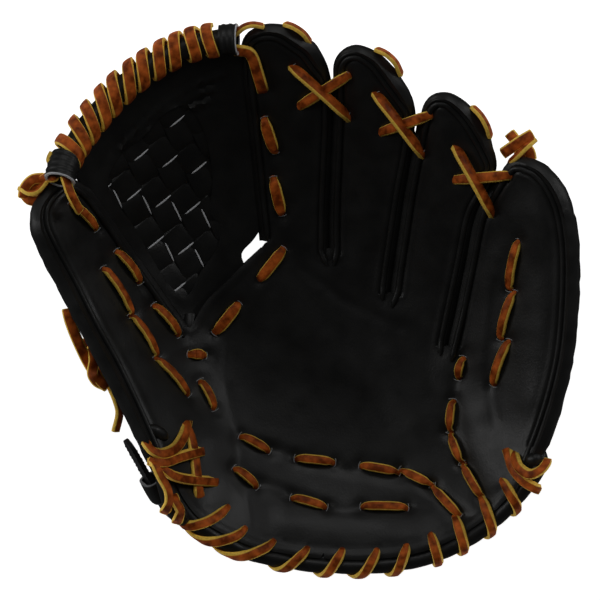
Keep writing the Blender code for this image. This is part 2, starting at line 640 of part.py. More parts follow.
def stiffener(name, outline, first, last):
    """The plastic strip inside the outer wall of a stall."""
    u = spline(outline, 44)[first:last]
    line = u[:, :2] + inward(u) * (u[:, 2:3] + WALL + 1.6)
    path = np.column_stack([line, bowl(line[:, 0], line[:, 1]) - 14])
    across = [sideways(d) for d in np.gradient(line, axis=0)]
    sweep(name, path, across, rectangle(1.2, 11), PLASTIC, 0.4)


# ---------------------------------------------------------------- little finger

def build_little():
    line = stall_line(LITTLE, WELT + GAP)
    cut = int(np.argmax(line[:, 1] > -22))
    outline = np.vstack([line[cut:], [(101, -103.5)], spline(LITTLE_FOLD, 8)[::-1] + (0.5, 0)])
    holes = slots(LITTLE_STALL_LACE) + slots(TIP_LACE_RING)[1:3]
    slab("little_leather", outline, level(0), level(-LEATHER), BLACK, holes, 10.5)
    stall("little_stall", LITTLE, LITTLE_DEPTH, open_first=9)
    welt("little_welt", LITTLE, first=9)
    running_lace("little_stall_lace", LITTLE_STALL_LACE)
    pad = [(88, -48), (100, -46), (114, -52), (106, -76), (99, -88), (94, -86), (87, -60)]
    slab("little_pad", pad, sunk(PAD_TOP), sunk(PAD_TOP - PAD_THICK), FELT)
    stiffener("little_stiffener", LITTLE, 27, 39)
    finger_loop("little_loop", (104, -30, 38), (0.1, 1), 11, 10)
    knot("little_tip_knot", (108, 76, 97), (9, 8, 8), 0.3)


def finger_loop(name, centre, along, half, high):
    """The leather loop inside a stall that a finger goes through."""
    along = np.array((*along, 0.0)) / math.hypot(*along)
    side = sideways(along)
    turns = np.linspace(0, math.pi, 9)
    path = [np.array(centre) + side * half * math.cos(t) + (0, 0, high * math.sin(t)) for t in turns]
    sweep(name, path, [along] * 9, rectangle(12, 1.6), BLACK)


# ---------------------------------------------------------------- web

def build_web():
    outline = spline(WEB_FRAME + WEB_FRAME[:1], 44)[:-1]
    slab("web_frame", outline, level(WEB_LEVEL), level(WEB_LEVEL - LEATHER), BLACK,
         [np.array(WEB_WINDOW, float)])
    build_weave()
    build_bar()


def strap_places(origin, step, reach=12):
    """Lattice places along one strap that lie inside the window."""
    window = np.array(WEB_WINDOW, float)
    spots = np.array([np.array(origin) + np.array(step) * i for i in range(-reach, reach)])
    ok = inside(spots, window) & (distance_to(spots, window) > 5.3)
    return [(i - reach, spot) for i, spot in enumerate(spots) if ok[i]]


def weave_strap(name, origin, step, parity):
    step = np.array(step)
    places = strap_places(origin, step)
    along = step / np.linalg.norm(step)
    path = []
    for index, spot in places:
        lift = WEAVE_LIFT if (index + parity) % 2 == 0 else -WEAVE_LIFT
        for side in (-4.3, 4.3):
            x, y = spot + along * side
            path.append((x, y, off(x, y, lift, -WEB_LEVEL + 2.4)))
    across = [leaning(p[0], p[1], along) for p in path]
    sweep(name, path, across, rectangle(STRAP_WIDTH, STRAP_THICK), BLACK)


def build_weave():
    for kind, step, other in (("a", WEAVE_A, WEAVE_B), ("b", WEAVE_B, WEAVE_A)):
        number = 0
        for k in range(-8, 9):
            origin = np.array(WEAVE_ORIGIN) + np.array(other) * k
            if len(strap_places(origin, step)) < 3:
                continue
            number += 1
            weave_strap("weave_strap_%s%d" % (kind, number), origin, step, k + (kind == "b"))


def build_bar():
    path = spline(BAR_PATH, 60)
    bar = path[5:55:3]
    level_side = [sideways(d) for d in np.gradient(bar, axis=0)]
    sweep("web_bar", bar, level_side, round_section(BAR_RADIUS, 10), BLACK)
    for name, part in (("web_collar_index", path[:4]), ("web_collar_thumb", path[56:])):
        across = [sideways(d) for d in np.gradient(part, axis=0)]
        sweep(name, part, across, round_section(BAR_RADIUS + 2, 10), BLACK)
    turns = np.linspace(0, 1, BAR_TURNS * 9)
    at = np.interp(turns, [0, 1], [5, 52])
    centre = np.column_stack([np.interp(at, range(60), path[:, k]) for k in range(3)])
    along = np.gradient(centre, axis=0)
    along /= np.linalg.norm(along, axis=1)[:, None]
    side = np.cross(along, (0, 0, 1))
    side /= np.linalg.norm(side, axis=1)[:, None]
    up = np.cross(side, along)
    angle = (turns * BAR_TURNS * 2 * math.pi)[:, None]
    radius = (BAR_RADIUS + LACE_THICK / 2 + 0.8)
    helix = centre + (side * np.cos(angle) + up * np.sin(angle)) * radius
    sweep("web_bar_lace", helix, along, rectangle(LACE_WIDTH, LACE_THICK), TAN)


def main():
    for obj in list(bpy.data.objects):
        bpy.data.objects.remove(obj)
    build_palm()
    build_fingers()
    build_heel()
    build_back()
    build_strap_tip()
    build_thumb()
    build_little()
    build_web()


main()
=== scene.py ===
"""Visual model of the fielder's glove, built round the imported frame.

Plan dimensions are millimetres in part.py's plan; row() turns them into metres in the row frame.
"""
import math

import bpy
import numpy as np
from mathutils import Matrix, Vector, geometry


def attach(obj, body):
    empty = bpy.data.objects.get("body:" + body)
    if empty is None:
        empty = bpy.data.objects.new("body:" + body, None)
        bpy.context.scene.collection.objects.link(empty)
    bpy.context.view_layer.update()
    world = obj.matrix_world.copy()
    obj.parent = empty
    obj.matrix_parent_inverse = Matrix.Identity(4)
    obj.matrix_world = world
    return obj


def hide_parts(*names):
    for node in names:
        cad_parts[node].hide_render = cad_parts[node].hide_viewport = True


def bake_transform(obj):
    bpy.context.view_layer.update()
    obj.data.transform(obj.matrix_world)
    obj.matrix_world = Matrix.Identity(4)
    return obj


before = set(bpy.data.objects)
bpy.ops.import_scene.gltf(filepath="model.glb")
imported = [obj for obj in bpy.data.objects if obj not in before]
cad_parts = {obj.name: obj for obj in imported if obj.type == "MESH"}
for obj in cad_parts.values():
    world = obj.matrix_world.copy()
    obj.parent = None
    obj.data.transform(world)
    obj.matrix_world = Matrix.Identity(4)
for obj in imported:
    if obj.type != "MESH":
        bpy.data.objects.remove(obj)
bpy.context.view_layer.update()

MM = 0.001
CENTRE = (1.91, -1.48)  # the origin of the row frame in part.py's plan
LACE_WIDTH = 5.5
LACE_THICK = 2.1

# Heights of the catching face over the back: (x, y, height).
BOWL = [
    (-5, 132, 104), (-5, 100, 79), (-5, 60, 56), (-5, 20, 44), (-5, -20, 41), (-5, -60, 43),
    (-5, -100, 54), (-5, -135, 68), (33, 118, 103), (33, 80, 76), (33, 40, 57), (33, 0, 47),
    (33, -40, 44), (33, -80, 49), (33, -115, 60), (33, -138, 70), (65, 95, 101), (62, 55, 76),
    (62, 15, 60), (62, -25, 52), (62, -65, 52), (62, -100, 60), (62, -132, 72), (102, 62, 100),
    (100, 20, 82), (98, -20, 72), (98, -60, 69), (98, -100, 75), (135, 40, 112), (136, 0, 104),
    (130, -50, 96), (116, -85, 88), (-40, 20, 46), (-40, 60, 57), (-40, 100, 80), (-70, 40, 58),
    (-70, 80, 77), (-60, 118, 96), (-95, 92, 96), (-118, 65, 106), (-42, -20, 42), (-42, -60, 52),
    (-45, -95, 68), (-60, -10, 48), (-80, -10, 68), (-98, -10, 92), (-86, 20, 66), (-105, 25, 88),
    (-122, 30, 108), (-132, 45, 114), (-66, -45, 66), (-84, -45, 90), (-70, -76, 90), (-30, -122, 70),
]
# Silhouettes of the stalls, clockwise: (x, y, distance from the silhouette in to the welt).
INDEX = [
    (-19, 30, 1.5), (-22, 60, 1.5), (-25, 90, 1.5), (-28, 115, 2), (-29, 127, 3), (-25.5, 133.5, 4),
    (-18, 137, 5), (-9, 137, 6), (0, 133, 7), (8, 127, 7), (13, 118, 6), (15.5, 108, 3),
    (15.5, 92, 1.5), (14.6, 70, 1.5), (13.6, 45, 1.5), (13.4, 23, 1.5),
]
MIDDLE = [
    (15.8, 23, 1.5), (15.8, 45, 1.5), (16.8, 70, 1.5), (17.6, 95, 1.5), (16.9, 110, 2), (17.4, 119, 3),
    (22, 125, 4), (30, 126.8, 5), (39.8, 122.4, 6), (48, 114.2, 7), (54.8, 103.2, 6), (57.5, 92, 3),
    (55.5, 77, 1.5), (51.5, 55, 1.5), (48.4, 35, 1.5), (45.5, 15, 1.5), (44, 3, 1.5),
]
RING = [
    (46.4, 3, 1.5), (48, 15, 1.5), (51, 35, 1.5), (54, 55, 1.5), (58, 77, 1.5), (60.2, 90, 2),
    (62, 97.5, 3), (66.5, 102.3, 4), (73.5, 103.3, 5), (80.5, 100.2, 6), (86.6, 94.6, 6.5),
    (91.2, 88, 6.5), (95.8, 77, 5), (97.8, 66, 3), (93.4, 55, 1.5), (86.6, 42, 1.5), (81.5, 17, 1.5),
    (76.3, -8, 1.5), (73, -24, 1.5),
]
LITTLE = [
    (88, -102, 1.5), (82, -72, 1.5), (77, -45, 1.5), (75.6, -24, 1.5), (79, -8, 1.5),
    (84, 17, 1.5), (89, 42, 1.5), (95.8, 55, 1.5), (100, 62.6, 2), (104, 68.5, 3), (111, 71, 5),
    (121, 68, 6), (130, 59, 7), (136, 45, 7), (139, 25, 7), (139, 0, 7), (137, -25, 7),
    (133, -45, 7), (127, -65, 7), (119, -83, 6), (110, -98, 4),
]
THUMB = [
    (-58, -111, 3), (-68, -96, 4), (-77.5, -78, 6), (-86.5, -60, 7), (-98, -37, 7.5), (-109, -17, 7.5),
    (-119, 3, 7.5), (-129, 22, 7.5), (-134, 35, 7), (-133, 46, 6), (-128, 54, 5), (-121, 59, 4),
    (-113, 60, 3), (-106, 55, 2), (-98, 44, 1.5), (-85, 25, 1.5), (-67.5, 0, 1.5), (-56, -17, 1.5),
    (-47, -40, 1.5), (-40, -68, 1.5), (-34, -97, 1.5),
]
FINGER_DEPTH = (43, 38, 33, 29, 25, 22)
LITTLE_DEPTH = (60, 52, 44, 38, 31, 25)
THUMB_DEPTH = (56, 50, 44, 38, 30, 24)
SKIN_EDGE = 2.3  # from a welt's seam in to the front panel
WELT_MID = 1.2
SHELL = 2.2  # thickness of the outer leather
SEAM_STATIONS = 200  # places round a silhouette that welts, bands and stiffeners count in

# Folds that pieces cross, each between two bodies and given by two lines; such pieces are only baked in
# place.
THUMB_BEND = ("hand", "thumb", (-30, 0), (-55.7, -3.8))
LITTLE_BEND = ("hand", "little", (78, 0), (95.8, 2.9))
RING_TIP_BEND = ("hand", "little", (84, 0), (97, 2))
WEB_BEND = ("hand", "thumb", (-26, 0), (-60, 0))


def row(points):
    """Plan millimetres to metres in the row frame."""
    return (np.asarray(points, float) - (*CENTRE, 0)) * MM


# ---------------------------------------------------------------- curves and surfaces

def lengths(line):
    """Distance along a polyline to each of its points."""
    return np.r_[0, np.cumsum(np.linalg.norm(np.diff(line, axis=0), axis=1))]


def pick(want, along, rows):
    """The rows, which lie at these places along, interpolated at the wanted places."""
    return np.column_stack([np.interp(want, along, rows[:, k]) for k in range(rows.shape[1])])


def evenly(along, step):
    """Places about every step millimetres."""
    return np.linspace(0, along[-1], max(2, int(round(along[-1] / step)) + 1))


def spline(points, step):
    """A smooth curve through the points, sampled about every step millimetres."""
    p = np.asarray(points, float)
    ends = np.vstack([2 * p[0] - p[1], p, 2 * p[-1] - p[-2]])
    t = np.linspace(0, 1, 12, endpoint=False)[:, None]
    pieces = []
    for a, b, c, d in zip(ends, ends[1:], ends[2:], ends[3:]):
        pieces.append(0.5 * (2 * b + (c - a) * t + (2 * a - 5 * b + 4 * c - d) * t**2
                             + (3 * b - 3 * c + d - a) * t**3))
    fine = np.vstack([*pieces, p[-1:]])
    along = lengths(fine[:, :3])
    return pick(evenly(along, step), along, fine)


def resample(line, step):
    """A polyline sampled about every step millimetres."""
    line = np.asarray(line, float)
    along = lengths(line)
    return pick(evenly(along, step), along, line)


def stations(outline, count):
    """The stall's silhouette sampled at count places."""
    fine = spline(outline, 0.5)
    along = lengths(fine[:, :2])
    return pick(np.linspace(0, along[-1], count), along, fine)


def from_ends(count):
    """How many places each of count places is from the nearer end."""
    return np.minimum(np.arange(count), np.arange(count)[::-1])


BOWL_SLACK = 60.0  # how far the surface may pass from its points


def plate_kernel(r2):
    return 0.5 * r2 * np.log(np.maximum(r2, 1e-9))


def fit_bowl():
    """The smooth surface that passes near the BOWL points: the points and its weights."""
    p = np.array(BOWL, float)
    n = len(p)
    r2 = ((p[:, None, :2] - p[None, :, :2]) ** 2).sum(-1)
    line = np.column_stack([np.ones(n), p[:, :2]])
    system = np.zeros((n + 3, n + 3))
    system[:n, :n] = plate_kernel(r2) + BOWL_SLACK * np.eye(n)
    system[:n, n:] = line
    system[n:, :n] = line.T
    return p, np.linalg.solve(system, np.r_[p[:, 2], 0, 0, 0])


BOWL_POINTS, BOWL_WEIGHTS = fit_bowl()


def bowl(x, y):
    """Height of the catching face at plan positions x, y."""
    x, y = np.broadcast_arrays(np.asarray(x, float), np.asarray(y, float))
    r2 = (x[..., None] - BOWL_POINTS[:, 0]) ** 2 + (y[..., None] - BOWL_POINTS[:, 1]) ** 2
    w = BOWL_WEIGHTS
    return plate_kernel(r2) @ w[:-3] + w[-3] + w[-2] * x + w[-1] * y


def raised(plan, rise=0.0):
    """Plan points with a third coordinate, this much above the catching face."""
    plan = np.asarray(plan, float)[:, :2]
    return np.column_stack([plan, bowl(plan[:, 0], plan[:, 1]) + rise])


def lifted(points):
    """3-D points from points that are each given as x, y and the rise above the face."""
    return [(x, y, float(bowl(x, y)) + rise) for x, y, rise in points]


def slopes(x, y):
    """How steeply the catching face climbs to the east and to the north."""
    return (bowl(x + 1, y) - bowl(x - 1, y)) / 2, (bowl(x, y + 1) - bowl(x, y - 1)) / 2


def steepness(x, y):
    east, north = slopes(x, y)
    return np.sqrt(1 + east**2 + north**2)


def face_normal(x, y):
    """Unit normals of the catching face."""
    east, north = slopes(x, y)
    n = np.stack([-east, -north, np.ones_like(east)], -1)
    return n / np.linalg.norm(n, axis=-1, keepdims=True)


def inward(outline):
    """Unit normals of an open outline that runs clockwise round what it encloses."""
    d = np.gradient(outline[:, :2], axis=0)
    d /= np.linalg.norm(d, axis=1)[:, None]
    return np.column_stack([d[:, 1], -d[:, 0]])


def hashed(ix, iy, seed):
    """A repeatable number from 0 to 1 for each lattice place."""
    v = np.sin(ix * 127.1 + iy * 311.7 + seed * 74.7) * 43758.5453
    return v - np.floor(v)


def noise(x, y, scale, seed=0):
    """Smooth noise from -1 to 1 with features about scale millimetres across."""
    u, v = x / scale, y / scale
    iu, iv = np.floor(u), np.floor(v)
    fu, fv = u - iu, v - iv
    fu, fv = fu * fu * (3 - 2 * fu), fv * fv * (3 - 2 * fv)
    low = hashed(iu, iv, seed) * (1 - fu) + hashed(iu + 1, iv, seed) * fu
    high = hashed(iu, iv + 1, seed) * (1 - fu) + hashed(iu + 1, iv + 1, seed) * fu
    return 2 * (low * (1 - fv) + high * fv) - 1


def to_line(x, y, line):
    """Distance from each point to an open polyline, and how far along it."""
    line = np.asarray(line, float)[:, :2]
    a, d = line[:-1], np.diff(line, axis=0)
    length = np.maximum((d * d).sum(1), 1e-9)
    best = np.full(np.shape(x), 1e9)
    where = np.zeros(np.shape(x))
    start = 0.0
    for p, q, l2 in zip(a, d, length):
        t = np.clip(((x - p[0]) * q[0] + (y - p[1]) * q[1]) / l2, 0, 1)
        r = np.hypot(x - p[0] - t * q[0], y - p[1] - t * q[1])
        closer = r < best
        best = np.where(closer, r, best)
        where = np.where(closer, start + t * math.sqrt(l2), where)
        start += math.sqrt(l2)
    return best, where


def inside(points, loop):
    """Which of the points lie inside a closed loop."""
    x, y = points[:, 0][:, None], points[:, 1][:, None]
    a, b = np.asarray(loop), np.roll(loop, -1, axis=0)
    crosses = (a[:, 1] > y) != (b[:, 1] > y)
    at = (b[:, 0] - a[:, 0]) * (y - a[:, 1]) / np.where(b[:, 1] == a[:, 1], 1e-9, b[:, 1] - a[:, 1])
    return (crosses & (x < a[:, 0] + at)).sum(1) % 2 == 1


# ---------------------------------------------------------------- pieces

def piece(name, points, faces, material, hold, nodes=(), sharp=50, attrs=None,
          modify=None):
    """A mesh piece given in plan millimetres. hold is a body to attach it to, or a bend between two, in
    which case the piece is only baked in place.
    """
    mesh = bpy.data.meshes.new(name)
    mesh.from_pydata(row(points).tolist(), [], [tuple(int(i) for i in f) for f in faces])
    for key, values in (attrs or {}).items():
        mesh.attributes.new(key, "FLOAT", "POINT").data.foreach_set(
            "value", np.asarray(values, np.float32))
    obj = bpy.data.objects.new(name, mesh)
    bpy.context.scene.collection.objects.link(obj)
    mesh.materials.append(material)
    if modify:
        modify(obj)
        settle(obj)
    obj.data.shade_smooth()
    if sharp:
        obj.data.set_sharp_from_angle(angle=math.radians(sharp))
    finish_piece(obj, hold, nodes)
    return obj


def finish_piece(obj, hold, nodes):
    """Attaches a piece to the body that holds it, or bakes it in place when a bend holds it, and hides
    the CAD nodes it replaces.
    """
    if isinstance(hold, str):
        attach(obj, hold)
    else:
        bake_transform(obj)
    if nodes:
        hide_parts(*nodes)


def settle(obj):
    """Applies the object's modifiers to its mesh."""
    bpy.context.view_layer.update()
    shaped = obj.evaluated_get(bpy.context.evaluated_depsgraph_get())
    mesh = bpy.data.meshes.new_from_object(shaped)
    obj.modifiers.clear()
    old = obj.data
    obj.data = mesh
    bpy.data.meshes.remove(old)


def thick(amount, levels=0, offset=-1, even=True):
    """A modifier step that gives a surface thickness, in millimetres."""
    def add(obj):
        mod = obj.modifiers.new("thick", "SOLIDIFY")
        mod.thickness = amount * MM
        mod.offset = offset
        mod.use_even_offset = even
        if levels:
            sub = obj.modifiers.new("smooth", "SUBSURF")
            sub.levels = sub.render_levels = levels
    return add


def grid_faces(rows, columns, close_rows=False, close_columns=False):
    """Four-sided faces between the points of a grid, which may close on itself either way."""
    faces = []
    for i in range(rows if close_rows else rows - 1):
        for j in range(columns if close_columns else columns - 1):
            a, b = i * columns, (i + 1) % rows * columns
            faces.append((a + j, a + (j + 1) % columns, b + (j + 1) % columns, b + j))
    return faces


def capped(rows, columns):
    """Faces of a tube of that many rings, with both ends shut."""
    return grid_faces(rows, columns, close_columns=True) + [
        tuple(range(columns))[::-1], tuple(range((rows - 1) * columns, rows * columns))]


def circle(sides, squash=1.0):
    """Points round a circle of radius 1, flattened by squash."""
    turn = np.linspace(0, 2 * math.pi, sides, endpoint=False)
    return np.column_stack([np.cos(turn), np.sin(turn) * squash])


def unit(v):
    v = np.asarray(v, float)
    return v / np.maximum(np.linalg.norm(v, axis=-1, keepdims=True), 1e-9)


def level_across(path):
    """Level directions across a path."""
    return np.cross(unit(np.gradient(path, axis=0)), (0, 0, 1))


def sweep_points(path, across, sections):
    """Points of a section swept along a path; sections is one per station or one for all."""
    path = np.asarray(path, float)
    along = unit(np.gradient(path, axis=0))
    side = np.asarray(across, float)
    side = unit(side - along * (side * along).sum(1)[:, None])
    up = np.cross(side, along)
    sections = np.asarray(sections, float)
    if sections.ndim == 2:
        sections = np.broadcast_to(sections, (len(path), *sections.shape))
    return path[:, None] + side[:, None] * sections[..., :1] + up[:, None] * sections[..., 1:2]


def tube(name, path, radius, hold, nodes=(), sides=14, across=None):
    """A closed round leather tube along a path, with one radius or one for each station."""
    path = np.asarray(path, float)
    if across is None:
        across = level_across(path)
    radius = np.broadcast_to(radius, len(path))
    points = sweep_points(path, across, circle(sides)[None] * radius[:, None, None])
    return piece(name, points.reshape(-1, 3), capped(len(path), sides), LEATHER, hold, nodes)


# ---------------------------------------------------------------- materials

def shader(name, rough, gloss=0.36):
    """A new material and its Principled node."""
    mat = bpy.data.materials.new(name)
    mat.use_nodes = True
    body = mat.node_tree.nodes["Principled BSDF"]
    body.inputs["Roughness"].default_value = rough
    body.inputs["Specular IOR Level"].default_value = gloss
    return mat, body


def texture(mat, kind, scale, detail=2.0):
    """A texture in the object's own coordinates."""
    node = mat.node_tree.nodes.new(kind)
    node.inputs["Scale"].default_value = scale
    node.inputs["Detail"].default_value = detail
    place = mat.node_tree.nodes.new("ShaderNodeTexCoord")
    mat.node_tree.links.new(place.outputs["Object"], node.inputs["Vector"])
    return node


def ramp(mat, source, *stops):
    """A colour that follows a source from one (place, colour) to the other."""
    node = mat.node_tree.nodes.new("ShaderNodeValToRGB")
    for element, (place, colour) in zip(node.color_ramp.elements, stops):
        element.position, element.color = place, (*colour, 1)
    mat.node_tree.links.new(source, node.inputs["Fac"])
    return node.outputs["Color"]


def ranged(mat, source, low, high, to=(0.0, 1.0)):
    """A source's range from low to high, spread over another range."""
    node = mat.node_tree.nodes.new("ShaderNodeMapRange")
    for key, value in zip(("From Min", "From Max", "To Min", "To Max"), (low, high, *to)):
        node.inputs[key].default_value = value
    mat.node_tree.links.new(source, node.inputs["Value"])
    return node.outputs["Result"]


def add_bump(mat, body, source, strength, depth):
    bump = mat.node_tree.nodes.new("ShaderNodeBump")
    bump.inputs["Strength"].default_value = strength
    bump.inputs["Distance"].default_value = depth
    mat.node_tree.links.new(source, bump.inputs["Height"])
    mat.node_tree.links.new(bump.outputs["Normal"], body.inputs["Normal"])


def spotted(name, dark, light, raw, rough, grain, depth, blotch=90.0, gloss=0.4):
    """Leather: two blended shades, a raw edge colour where "edge" is 1 (the cut edge's own colour,
    which also paints highlights on the weave and on one side of the laces), and a grain.
    """
    mat, body = shader(name, rough[0], gloss)
    nodes, links = mat.node_tree.nodes, mat.node_tree.links
    cloud = texture(mat, "ShaderNodeTexNoise", blotch, 4.0).outputs["Fac"]
    fibre = texture(mat, "ShaderNodeTexNoise", 900.0, 3.0).outputs["Fac"]
    edge = nodes.new("ShaderNodeAttribute")
    edge.attribute_name = "edge"
    mix = nodes.new("ShaderNodeMix")
    mix.data_type = "RGBA"
    links.new(ranged(mat, edge.outputs["Fac"], 0.35, 0.6), mix.inputs["Factor"])
    links.new(ramp(mat, cloud, (0.35, dark), (0.7, light)), mix.inputs["A"])
    worn = [0.72 * c for c in raw]
    links.new(ramp(mat, fibre, (0.3, worn), (0.65, raw)), mix.inputs["B"])
    links.new(mix.outputs["Result"], body.inputs["Base Color"])
    links.new(ranged(mat, cloud, 0.3, 0.7, rough), body.inputs["Roughness"])
    cell = texture(mat, "ShaderNodeTexVoronoi", grain)
    fine = texture(mat, "ShaderNodeTexNoise", grain * 0.45, 5.0)
    both = nodes.new("ShaderNodeMath")
    both.operation = "MULTIPLY_ADD"
    both.inputs[1].default_value = 0.5
    links.new(cell.outputs["Distance"], both.inputs[0])
    links.new(fine.outputs["Fac"], both.inputs[2])
    add_bump(mat, body, both.outputs["Value"], 0.5, depth)
    return mat


def plain(name, colour, rough, grain=0.0, depth=0.0):
    """One colour, with a fine bump where a grain is given."""
    mat, body = shader(name, rough)
    body.inputs["Base Color"].default_value = (*colour, 1)
    if grain:
        fine = texture(mat, "ShaderNodeTexNoise", grain, 6.0)
        add_bump(mat, body, fine.outputs["Fac"], 0.8, depth)
    return mat


# The raw grey is the cut edges' own colour; it also paints the weave's edge highlight slivers.
LEATHER = spotted("black_leather", (0.0078, 0.0078, 0.0075), (0.0118, 0.0118, 0.0114),
                  (0.62, 0.63, 0.65), (0.39, 0.48), 900.0, 0.00012)
# The raw yellow is the laces' own cut-side colour; where one cut is wider, the wider side is a painted
# highlight.
LACE = spotted("tan_lace", (0.15, 0.026, 0.003), (0.62, 0.135, 0.02), (1.0, 0.64, 0.1),
               (0.42, 0.56), 1300.0, 0.00008, 210.0, 0.12)
TAB = plain("tab_rubber", (0.012, 0.012, 0.013), 0.4, 2500.0, 0.00004)
FELT = plain("felt", (0.62, 0.58, 0.5), 0.95, 1600.0, 0.0004)
LINING = plain("lining", (0.42, 0.25, 0.11), 0.7, 1200.0, 0.0001)
FLEECE = plain("fleece", (0.75, 0.68, 0.55), 0.95, 700.0, 0.0009)
SHEET = plain("stiff_sheet", (0.7, 0.7, 0.68), 0.45)


# ---------------------------------------------------------------- leather skins

def stall_edge(outline):
    """The line where a stall's front panel ends, a little inside its welt."""
    u = stations(outline, 150)
    return u[:, :2] + inward(u) * (u[:, 2:3] + SKIN_EDGE)


def hex_grid(low, high, step):
    """A triangular net of points over a rectangle."""
    ys = np.arange(low[1], high[1], step * 0.866)
    rows = []
    for k, y in enumerate(ys):
        xs = np.arange(low[0] + (k % 2) * step / 2, high[0], step)
        rows.append(np.column_stack([xs, np.full(len(xs), y)]))
    return np.vstack(rows)


def triangles(loops, extra):
    """Triangles that fill the first loop, using the points of every loop and the extra ones."""
    stops = np.cumsum([0, *map(len, loops)])
    rings = [list(range(a, b)) for a, b in zip(stops.tolist(), stops[1:].tolist())]
    every = [Vector(p) for p in np.vstack([*loops, extra])]
    result = geometry.delaunay_2d_cdt(every, [], rings, 1, 1e-4)
    return np.array([tuple(v) for v in result[0]]), result[2]


def filled(loop, rows, grid):
    """Fills a loop with a dense net: rows follow the loop's edge at those distances."""
    closed = np.vstack([loop, loop[:1]])
    near = inward(np.vstack([loop[-1:], loop, loop[:1]]))[1:-1]
    extra = [hex_grid(loop.min(0), loop.max(0), grid)]
    keep_from = [max(rows, default=0) + grid * 0.6]
    for distance in rows:
        extra.append(loop + near * distance)
        keep_from.append(distance * 0.93)
    kept = []
    for points, least in zip(extra, keep_from):
        r, _ = to_line(points[:, 0], points[:, 1], closed)
        kept.append(points[inside(points, loop) & (r > least)])
    return triangles([loop], np.vstack(kept))


def skin(name, loop, height, hold, nodes):
    """A leather panel over the bowl. height(x, y) is measured from the catching face."""
    even = resample(np.vstack([loop, loop[:1]]), 1.7)[:-1]
    flat, faces = filled(even, (0.7, 1.5, 2.4, 3.4, 4.4, 5.6), 2.2)
    piece(name, raised(flat, height(flat[:, 0], flat[:, 1])), faces, LEATHER, hold, nodes,
          modify=thick(SHELL))


def bell(r, width):
    """1 at the middle, falling to nothing a few widths away."""
    return np.exp(-((r / width) ** 2))


def pads(x, y):
    """Swellings and hollows the padding makes in the palm."""
    lift = np.zeros_like(x)
    # From, to, width and height.
    swell = [((-6, -112), (60, -118), 9, 1.8), ((-25, 8), (58, -58), 13, 1.6),
             ((40, -12), (66, -80), 11, 0.9), ((-58, -60), (-80, -20), 9, 1.4),
             ((-44, -72), (-40, -98), 8, 1.6), ((118, 40), (118, -50), 11, 1.8),
             ((96, 20), (92, -30), 7, 1.2), ((88, -60), (98, -90), 7, 1.4),
             ((-3, 112), (-1, 55), 9, 1.2), ((33, 105), (31, 45), 9, 1.2),
             ((70, 85), (64, 20), 9, 1.2)]
    for a, b, width, high in swell:
        r, _ = to_line(x, y, [a, b])
        lift += high * bell(r, width)
    crease = [((-33, -4), (-38, -40), (-31, -75), (-24, -112)), ((78, -44), (82, -74), (93, -103)),
              ((-24, -71), (14, -84), (60, -92), (84, -108)), ((2, 16), (22, 0), (50, -14)),
              ((-24, -90), (20, -106), (62, -104)), ((98, 8), (94, -34), (98, -60))]
    for line in crease:
        r, _ = to_line(x, y, line)
        lift -= 0.8 * bell(r, 2.6)
    return lift + 0.28 * noise(x, y, 17, 1) + 0.12 * noise(x, y, 7, 2)


def puckers(x, y, stitches):
    """How far the lacing pulls the leather down."""
    down = np.zeros_like(x)
    for ax, ay, bx, by in stitches:
        r, _ = to_line(x, y, [(ax, ay), (bx, by)])
        down -= 0.5 * bell(r, 4.5)
        for hx, hy in ((ax, ay), (bx, by)):
            down -= 1.2 * bell(np.hypot(x - hx, y - hy), 2.6)
    return down


# Stitches of each lace over the face: x, y of the first hole, then x, y of the second.
PALM_LACE_UPPER = [(-30, -68, -15, -76), (-2.5, -79.5, 17.5, -81.5), (30, -83, 50, -86.5),
                   (50, -85, 67, -93), (66, -93, 80, -108)]
PALM_LACE_LOWER = [(-33, -84, -21, -94), (-4.5, -99, 13.5, -104), (30.5, -103.5, 54, -104)]
HINGE_LACE = [(81.5, -28.5, 79, -40), (76.5, -50, 75, -66.5), (75, -66, 81, -82),
              (81, -81.5, 91, -99)]
WEB_BASE_LACE = [(-8, 26, -21, 9.5), (-30.5, -1.5, -43, -17)]
WEB_BASE_LAST = (-56, -27, -47, -28)
WEB_INDEX_LACE = [(-19, 116, -16.5, 106), (-18, 91, -12.2, 73.5), (-13.4, 61.5, -8.8, 42.5)]
TIP_LACE_INDEX = [(-3.5, 116, 23.5, 92), (24, 112, 0, 97)]
TIP_LACE_MIDDLE = [(38, 102.5, 60.5, 73.5), (64.5, 92, 41, 84)]
TIP_LACE_RING = [(78, 75.5, 95.5, 44), (104, 62, 78, 60)]
THUMB_WEB_LACE = [(-114, 49, -101, 35), (-91.5, 25, -79.5, 8.5), (-73, -2, -60, -18)]
THUMB_BASE_LACE = [(-50, -40, -42.5, -55)]
THUMB_STALL_LACE = [(-98, 16.5, -83.5, -8), (-84.5, -7, -71, -29), (-72.5, -28.5, -55.5, -48)]
LITTLE_STALL_LACE = [(109, 30, 104.5, 4.5), (107, 4.5, 100, -20), (104.5, -20, 96.5, -43)]
ALL_STITCHES = (PALM_LACE_UPPER + PALM_LACE_LOWER + HINGE_LACE + WEB_BASE_LACE
                + [WEB_BASE_LAST] + WEB_INDEX_LACE + THUMB_WEB_LACE + THUMB_BASE_LACE
                + THUMB_STALL_LACE + LITTLE_STALL_LACE)
TIP_STITCHES = TIP_LACE_INDEX + TIP_LACE_MIDDLE + TIP_LACE_RING
HEEL_EDGE = [(118.5, -75), (114.8, -84.5), (105.5, -96.8), (95, -107.5), (80, -118), (60, -126.5),
             (35, -130), (10, -129.5), (-8, -127), (-23.5, -123.6), (-38.5, -117), (-51, -108.5),
             (-59.5, -97), (-64, -84)]
PALM_TOP_EDGE = [(-55, -14), (-47.5, -1), (-38, 8.3), (-28.6, 17.8), (-19.4, 26.3)]
CUT = [(14.6, 19.5), (14, -30), (12, -80), (12, -128.7)]


